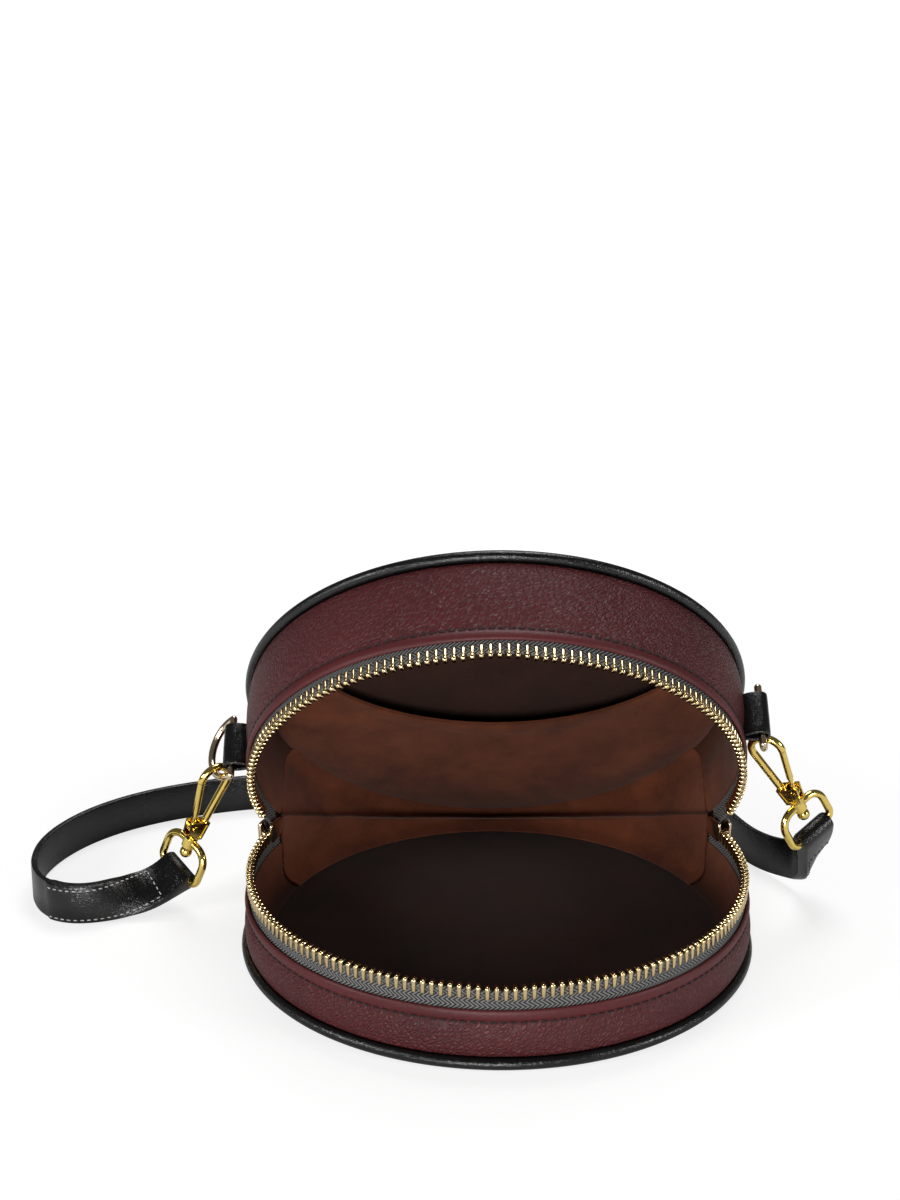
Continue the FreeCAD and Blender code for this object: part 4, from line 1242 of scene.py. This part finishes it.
class Line:
    """A line of points that can be read at any length along it."""

    def __init__(self, points):
        self.points = points
        self.marks = [0.0]
        for before, after in zip(points, points[1:]):
            self.marks.append(self.marks[-1] + (after - before).length)
        self.total = self.marks[-1]

    def at(self, run):
        run = min(max(run, 0.0), self.total)
        index = next((i for i, mark in enumerate(self.marks) if mark >= run), len(self.marks) - 1)
        if index == 0:
            return self.points[0].copy()
        low, high = self.marks[index - 1], self.marks[index]
        share = (run - low) / (high - low) if high > low else 0.0
        return self.points[index - 1].lerp(self.points[index], share)

    def ahead(self, run):
        step = self.total / 2000
        return (self.at(run + step) - self.at(run - step)).normalized()


def strap_frame(s, line, run):
    """The strap's place at a length: its point, its edge's way and the way that its outer face looks."""
    ahead = line.ahead(run)
    turn = STRAP_TURN * s.strap_width
    left = 1 - min(run / turn, 1.0)
    right = 1 - min((line.total - run) / turn, 1.0)
    edge = Vector((0, 0, 1))
    for share, side in ((left, "left"), (right, "right")):
        edge = edge.lerp(Vector(STRAP_ENDS[side]["edge"]), eased(share))
    edge = (edge - ahead * edge.dot(ahead)).normalized()
    return line.at(run), edge, ahead.cross(edge)


def strap_half_thickness(s, line, run):
    """Half the strap's thickness: doubled at its sewn ends, and round where it passes over a bar."""
    thin = s.strap_thickness / 2
    eye = s.ring_wire / 2 + s.strap_thickness
    thick = thin
    for gone, fold in ((run, s.left_fold), (line.total - run, s.right_fold)):
        step = clamped((fold - gone) / s.strap_thickness)
        grip = clamped(1 - gone / (STRAP_GRIP * eye))
        thick = max(thick, thin + thin * step + (eye - 2 * thin) * grip * grip)
    return thick


def strap_section(half_width, half_thickness):
    """Points round the strap's section: across its edge and out of its face."""
    w, t = half_width, half_thickness
    b = min(t * 0.5, w * 0.1)
    corner = [(w, -t + 1.4 * b), (w, t - 1.4 * b), (w - 0.4 * b, t - 0.4 * b), (w - 1.6 * b, t)]
    upper = corner + [(0.0, t)] + [(-x, y) for x, y in corner[::-1]]
    foot = [(w - 1.6 * b, -t), (w - 0.4 * b, -t + 0.4 * b)]
    return upper + [(-x, y) for x, y in foot[::-1]] + [(0.0, -t)] + foot


def strap_piece(s, name, line, first, last, round_first=False, round_last=False):
    """A stretch of the strap as a mesh, with a rolled end where it wraps a bar."""
    count = max(int((last - first) / s.strap_step), 2)
    stations = [(first + (last - first) * number / count, 0.0) for number in range(count + 1)]
    eye = s.ring_wire / 2 + s.strap_thickness
    rolls = [math.pi / 2 * number / 6 for number in range(1, 7)]
    if round_first:
        stations = [(first, -eye * math.sin(t)) for t in rolls[::-1]] + stations
    if round_last:
        stations += [(last, eye * math.sin(t)) for t in rolls]
    rows, faces, flat = [], [], []
    for run, beyond in stations:
        place, edge, face = strap_frame(s, line, run)
        place = place + line.ahead(run) * beyond
        thick = strap_half_thickness(s, line, run)
        if beyond:
            thick = max(thick * math.sqrt(max(1 - (beyond / eye) ** 2, 0.0)), SEAM)
        for across, out in strap_section(s.strap_width / 2, thick):
            rows.append(place + edge * across + face * out)
            flat.append((run + beyond, across))
    ring = len(rows) // len(stations)
    for row in range(len(stations) - 1):
        for corner in range(ring):
            after = (corner + 1) % ring
            here, there = row * ring, (row + 1) * ring
            faces.append((here + corner, here + after, there + after, there + corner))
    faces.append(tuple(range(ring))[::-1])
    faces.append(tuple(range(len(rows) - ring, len(rows))))
    mesh = bpy.data.meshes.new(name)
    mesh.from_pydata(rows, [], faces)
    obj = bpy.data.objects.new(name, mesh)
    bpy.context.collection.objects.link(obj)
    edit(obj)
    bpy.ops.mesh.normals_make_consistent(inside=False)
    close()
    return smooth(obj, STRAP_EDGE)


def strap_stitches(s, name, line, side, thread):
    """The sewn rectangle of a strap end: two edge rows and a row across, on both faces."""
    fold = s.left_fold if side == "left" else s.right_fold
    inset = s.strap_width / 2 - STITCH_INSET * s.strap_width
    begin = STITCH_START * s.strap_width
    spots = []
    count = int((fold - begin - s.strap_stitch) / s.strap_stitch)
    for number in range(count + 1):
        gone = begin + number * s.strap_stitch
        spots += [(gone, inset, False), (gone, -inset, False)]
    count = int(2 * inset / s.strap_stitch)
    spots += [(begin - s.strap_stitch / 2, inset * (2 * (n + 0.5) / count - 1), True) for n in range(count)]
    places = []
    for gone, across, sideways in spots:
        run = gone if side == "left" else line.total - gone
        point, edge, face = strap_frame(s, line, run)
        thick = strap_half_thickness(s, line, run)
        ahead = line.ahead(run)
        for way in (-1, 1):
            along = edge if sideways else ahead
            place = point + edge * across + face * (way * thick)
            places.append(axes_at(place, along, face * way))
    row = stitch(name, s.strap_stitch * STITCH_FILL, s.strap_thread)
    return worn(pattern(row, places), thread)


def build_strap(s):
    """Shoulder strap: a long run fixed to the base, and two sewn ends as pieces of their own."""
    line = Line(strap_line(s))
    cut_left = s.left_give
    cut_right = line.total - s.right_give
    left = strap_piece(s, "strap_left_end", line, 0.0, cut_left, round_first=True)
    right = strap_piece(s, "strap_right_end", line, cut_right, line.total, round_last=True)
    strap = strap_piece(s, "strap", line, cut_left, cut_right)
    left_rows = strap_stitches(s, "strap_left_stitches", line, "left", "pale_thread")
    right_rows = strap_stitches(s, "strap_right_stitches", line, "right", "black_thread")
    for obj in (left, right, strap):
        worn(obj, "black")
    fixed(strap, "base", "strap_left_run", "strap_hank", "strap_right_run")
    ends = {
        "left": (left, left_rows, line.at(cut_left), "strap_left_fold"),
        "right": (right, right_rows, line.at(cut_right), "strap_right_fold"),
    }
    for side, (obj, rows, cut, node) in ends.items():
        for piece in (obj, rows):
            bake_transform(piece)
        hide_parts(node)
    count = int((cut_right - cut_left) / s.strap_step)
    path = [line.at(cut_left + (cut_right - cut_left) * number / count) for number in range(count + 1)]


# ---- Metal and boards of the frame

CAD_FINISHES = {
    "gold": ["hook", "hook_gate", "gate_rivet", "swivel_post", "swivel_loop", "pull", "gate_spring"],
    "pale_gold": ["ring"],
}


def finish_frame():
    """Finishes of the pieces that keep their own solids."""
    for finish, kinds in CAD_FINISHES.items():
        for kind in kinds:
            for side in SIDES:
                finished(frame["nodes"][f"{kind}_{side}"], finish)
    for half in ("base", "lid"):
        finished(frame["nodes"][f"{half}_stiffener"], "board")


# ---- Stage

CAMERA_PLACE = (-0.0212, -0.7499, 0.3997)
CAMERA_PITCH = math.radians(19.486)
CAMERA_HEADING = 0.0051
CAMERA_LENS = 67.37
CAMERA_SENSOR = 36.0
CAMERA_NEAR = 0.01
# Each lamp's place, size and power.
LAMPS = {
    "front": ((-0.2, -1.7, 0.26), 0.6, 22.0),
    "key": ((-1.2, -0.6, 0.55), 0.4, 8.0),
    "fill": ((1.3, -0.6, 0.5), 0.4, 7.0),
    "top": ((0.1, 0.6, 1.3), 0.6, 9.0),
}
WORLD_STRENGTH = 0.1
FLOOR_SIZE = 12
# How much of the floor's white is its own where the bag stands, from where to where it goes over to all
# its own, and how bright that is.
FLOOR_SHARE = 0.62
FLOOR_NEAR = 0.16
FLOOR_FAR = 0.75
FLOOR_GLOW = 1.2


def build_stage(c):
    """Floor, soft lamps and the camera."""
    fresh()
    bpy.ops.mesh.primitive_plane_add(size=FLOOR_SIZE)
    floor = named("floor")
    finish = Finish("studio_floor")
    pale = tuple(c.floor)
    finish.paint(pale, 0.9)
    away = finish.node("ShaderNodeVectorMath", {"operation": "LENGTH"}, {0: finish.place}, "Value")
    glow = finish.node("ShaderNodeEmission", None, {"Color": (1.0, 1.0, 1.0, 1.0), "Strength": FLOOR_GLOW})
    matte = Socket(finish, finish.shader.outputs[0])
    seen = finish.node("ShaderNodeLightPath", None, None, "Is Camera Ray")
    share = away.ramp(FLOOR_NEAR, FLOOR_FAR, FLOOR_SHARE, 1.0) * seen
    blend = finish.node("ShaderNodeMixShader", None, {0: share, 1: matte, 2: glow})
    finish.link(finish.tree.nodes["Material Output"].inputs["Surface"], blend)
    floor.data.materials.append(finish.material)
    for name, (place, size, power) in LAMPS.items():
        bpy.ops.object.light_add(type="AREA", location=place)
        lamp = bpy.context.object
        lamp.name = name
        lamp.data.size = size
        lamp.data.energy = power
        lamp.rotation_euler = (-Vector(place)).to_track_quat("-Z", "Y").to_euler()
    world = bpy.data.worlds.new("studio")
    bpy.context.scene.world = world
    world.use_nodes = True
    nodes = world.node_tree.nodes
    backdrop = nodes["Background"]
    backdrop.inputs["Color"].default_value = (1.0, 1.0, 1.0, 1.0)
    rays = nodes.new("ShaderNodeLightPath")
    strength = nodes.new("ShaderNodeMapRange")
    strength.inputs["To Min"].default_value = WORLD_STRENGTH
    world.node_tree.links.new(rays.outputs["Is Camera Ray"], strength.inputs["Value"])
    world.node_tree.links.new(strength.outputs["Result"], backdrop.inputs["Strength"])
    bpy.ops.object.camera_add(location=CAMERA_PLACE)
    camera = bpy.context.object
    ahead = Vector((math.sin(CAMERA_HEADING) * math.cos(CAMERA_PITCH),
                    math.cos(CAMERA_HEADING) * math.cos(CAMERA_PITCH), -math.sin(CAMERA_PITCH)))
    camera.rotation_euler = ahead.to_track_quat("-Z", "Y").to_euler()
    camera.data.lens = CAMERA_LENS
    camera.data.sensor_width = CAMERA_SENSOR
    camera.data.clip_start = CAMERA_NEAR
    bpy.context.scene.camera = camera
    bpy.context.scene.view_settings.view_transform = "Standard"


# ---- Operators, panel and registration


class BAG_OT_materials(bpy.types.Operator):
    """Makes the finishes and gives them to the metal and boards"""

    bl_idname = "bag.materials"
    bl_label = "Materials"

    def execute(self, context):
        make_materials(context.scene.bag_colours)
        finish_frame()
        return {"FINISHED"}


class Piece:
    """What the operators share that build pieces from the bag's sizes."""

    def execute(self, context):
        self.build(context.scene.bag_sizes)
        return {"FINISHED"}


class BAG_OT_walls(Piece, bpy.types.Operator):
    """Makes the leather walls with their stitched hems"""

    bl_idname = "bag.walls"
    bl_label = "Walls"
    build = staticmethod(build_walls)


class BAG_OT_panels(Piece, bpy.types.Operator):
    """Makes the round leather panels"""

    bl_idname = "bag.panels"
    bl_label = "Panels"
    build = staticmethod(build_panels)


class BAG_OT_piping(Piece, bpy.types.Operator):
    """Makes the piping round both panels"""

    bl_idname = "bag.piping"
    bl_label = "Piping"
    build = staticmethod(build_piping)


class BAG_OT_linings(Piece, bpy.types.Operator):
    """Makes the lining of both halves"""

    bl_idname = "bag.linings"
    bl_label = "Linings"
    build = staticmethod(build_linings)


class BAG_OT_pocket(Piece, bpy.types.Operator):
    """Makes the slip pocket inside the lid"""

    bl_idname = "bag.pocket"
    bl_label = "Slip Pocket"
    build = staticmethod(build_pocket)


class BAG_OT_gusset(Piece, bpy.types.Operator):
    """Makes the gusset behind the zip ends"""

    bl_idname = "bag.gusset"
    bl_label = "Gusset"
    build = staticmethod(build_gusset)


class BAG_OT_zip(Piece, bpy.types.Operator):
    """Makes the zip's tapes and teeth"""

    bl_idname = "bag.zip"
    bl_label = "Zip"
    build = staticmethod(build_zip)


class BAG_OT_sliders(Piece, bpy.types.Operator):
    """Makes the zip's sliders"""

    bl_idname = "bag.sliders"
    bl_label = "Sliders"
    build = staticmethod(build_sliders)


class BAG_OT_tabs(Piece, bpy.types.Operator):
    """Makes the leather tabs of the rings"""

    bl_idname = "bag.tabs"
    bl_label = "Tabs"
    build = staticmethod(build_tabs)


class BAG_OT_strap(Piece, bpy.types.Operator):
    """Makes the shoulder strap with its sewn ends"""

    bl_idname = "bag.strap"
    bl_label = "Strap"
    build = staticmethod(build_strap)


class BAG_OT_stage(bpy.types.Operator):
    """Makes the floor, lamps and camera"""

    bl_idname = "bag.stage"
    bl_label = "Stage"

    def execute(self, context):
        build_stage(context.scene.bag_colours)
        return {"FINISHED"}


STEPS = ("stage", "materials", "strap", "walls", "panels", "piping", "linings", "pocket", "gusset", "zip",
         "sliders", "tabs")


class BAG_PT_panel(bpy.types.Panel):
    """Lists the bag's pieces, sizes and colours"""

    bl_idname = "BAG_PT_panel"
    bl_label = "Circle Bag"
    bl_space_type = "VIEW_3D"
    bl_region_type = "UI"
    bl_category = "Circle Bag"

    def draw(self, context):
        for step in STEPS:
            self.layout.operator(f"bag.{step}")
        for group in (context.scene.bag_sizes, context.scene.bag_colours):
            for name in group.__annotations__:
                self.layout.prop(group, name)


CLASSES = (
    BagSizes, BagColours, BAG_OT_materials, BAG_OT_walls, BAG_OT_panels, BAG_OT_piping, BAG_OT_linings,
    BAG_OT_pocket, BAG_OT_gusset, BAG_OT_zip, BAG_OT_sliders, BAG_OT_tabs, BAG_OT_strap, BAG_OT_stage,
    BAG_PT_panel,
)


def register():
    for cls in CLASSES:
        bpy.utils.register_class(cls)
    bpy.types.Scene.bag_sizes = PointerProperty(type=BagSizes)
    bpy.types.Scene.bag_colours = PointerProperty(type=BagColours)


def unregister():
    del bpy.types.Scene.bag_colours
    del bpy.types.Scene.bag_sizes
    for cls in reversed(CLASSES):
        bpy.utils.unregister_class(cls)


def main():
    register()
    for step in STEPS:
        getattr(bpy.ops.bag, step)()


if __name__ == "__main__":
    main()
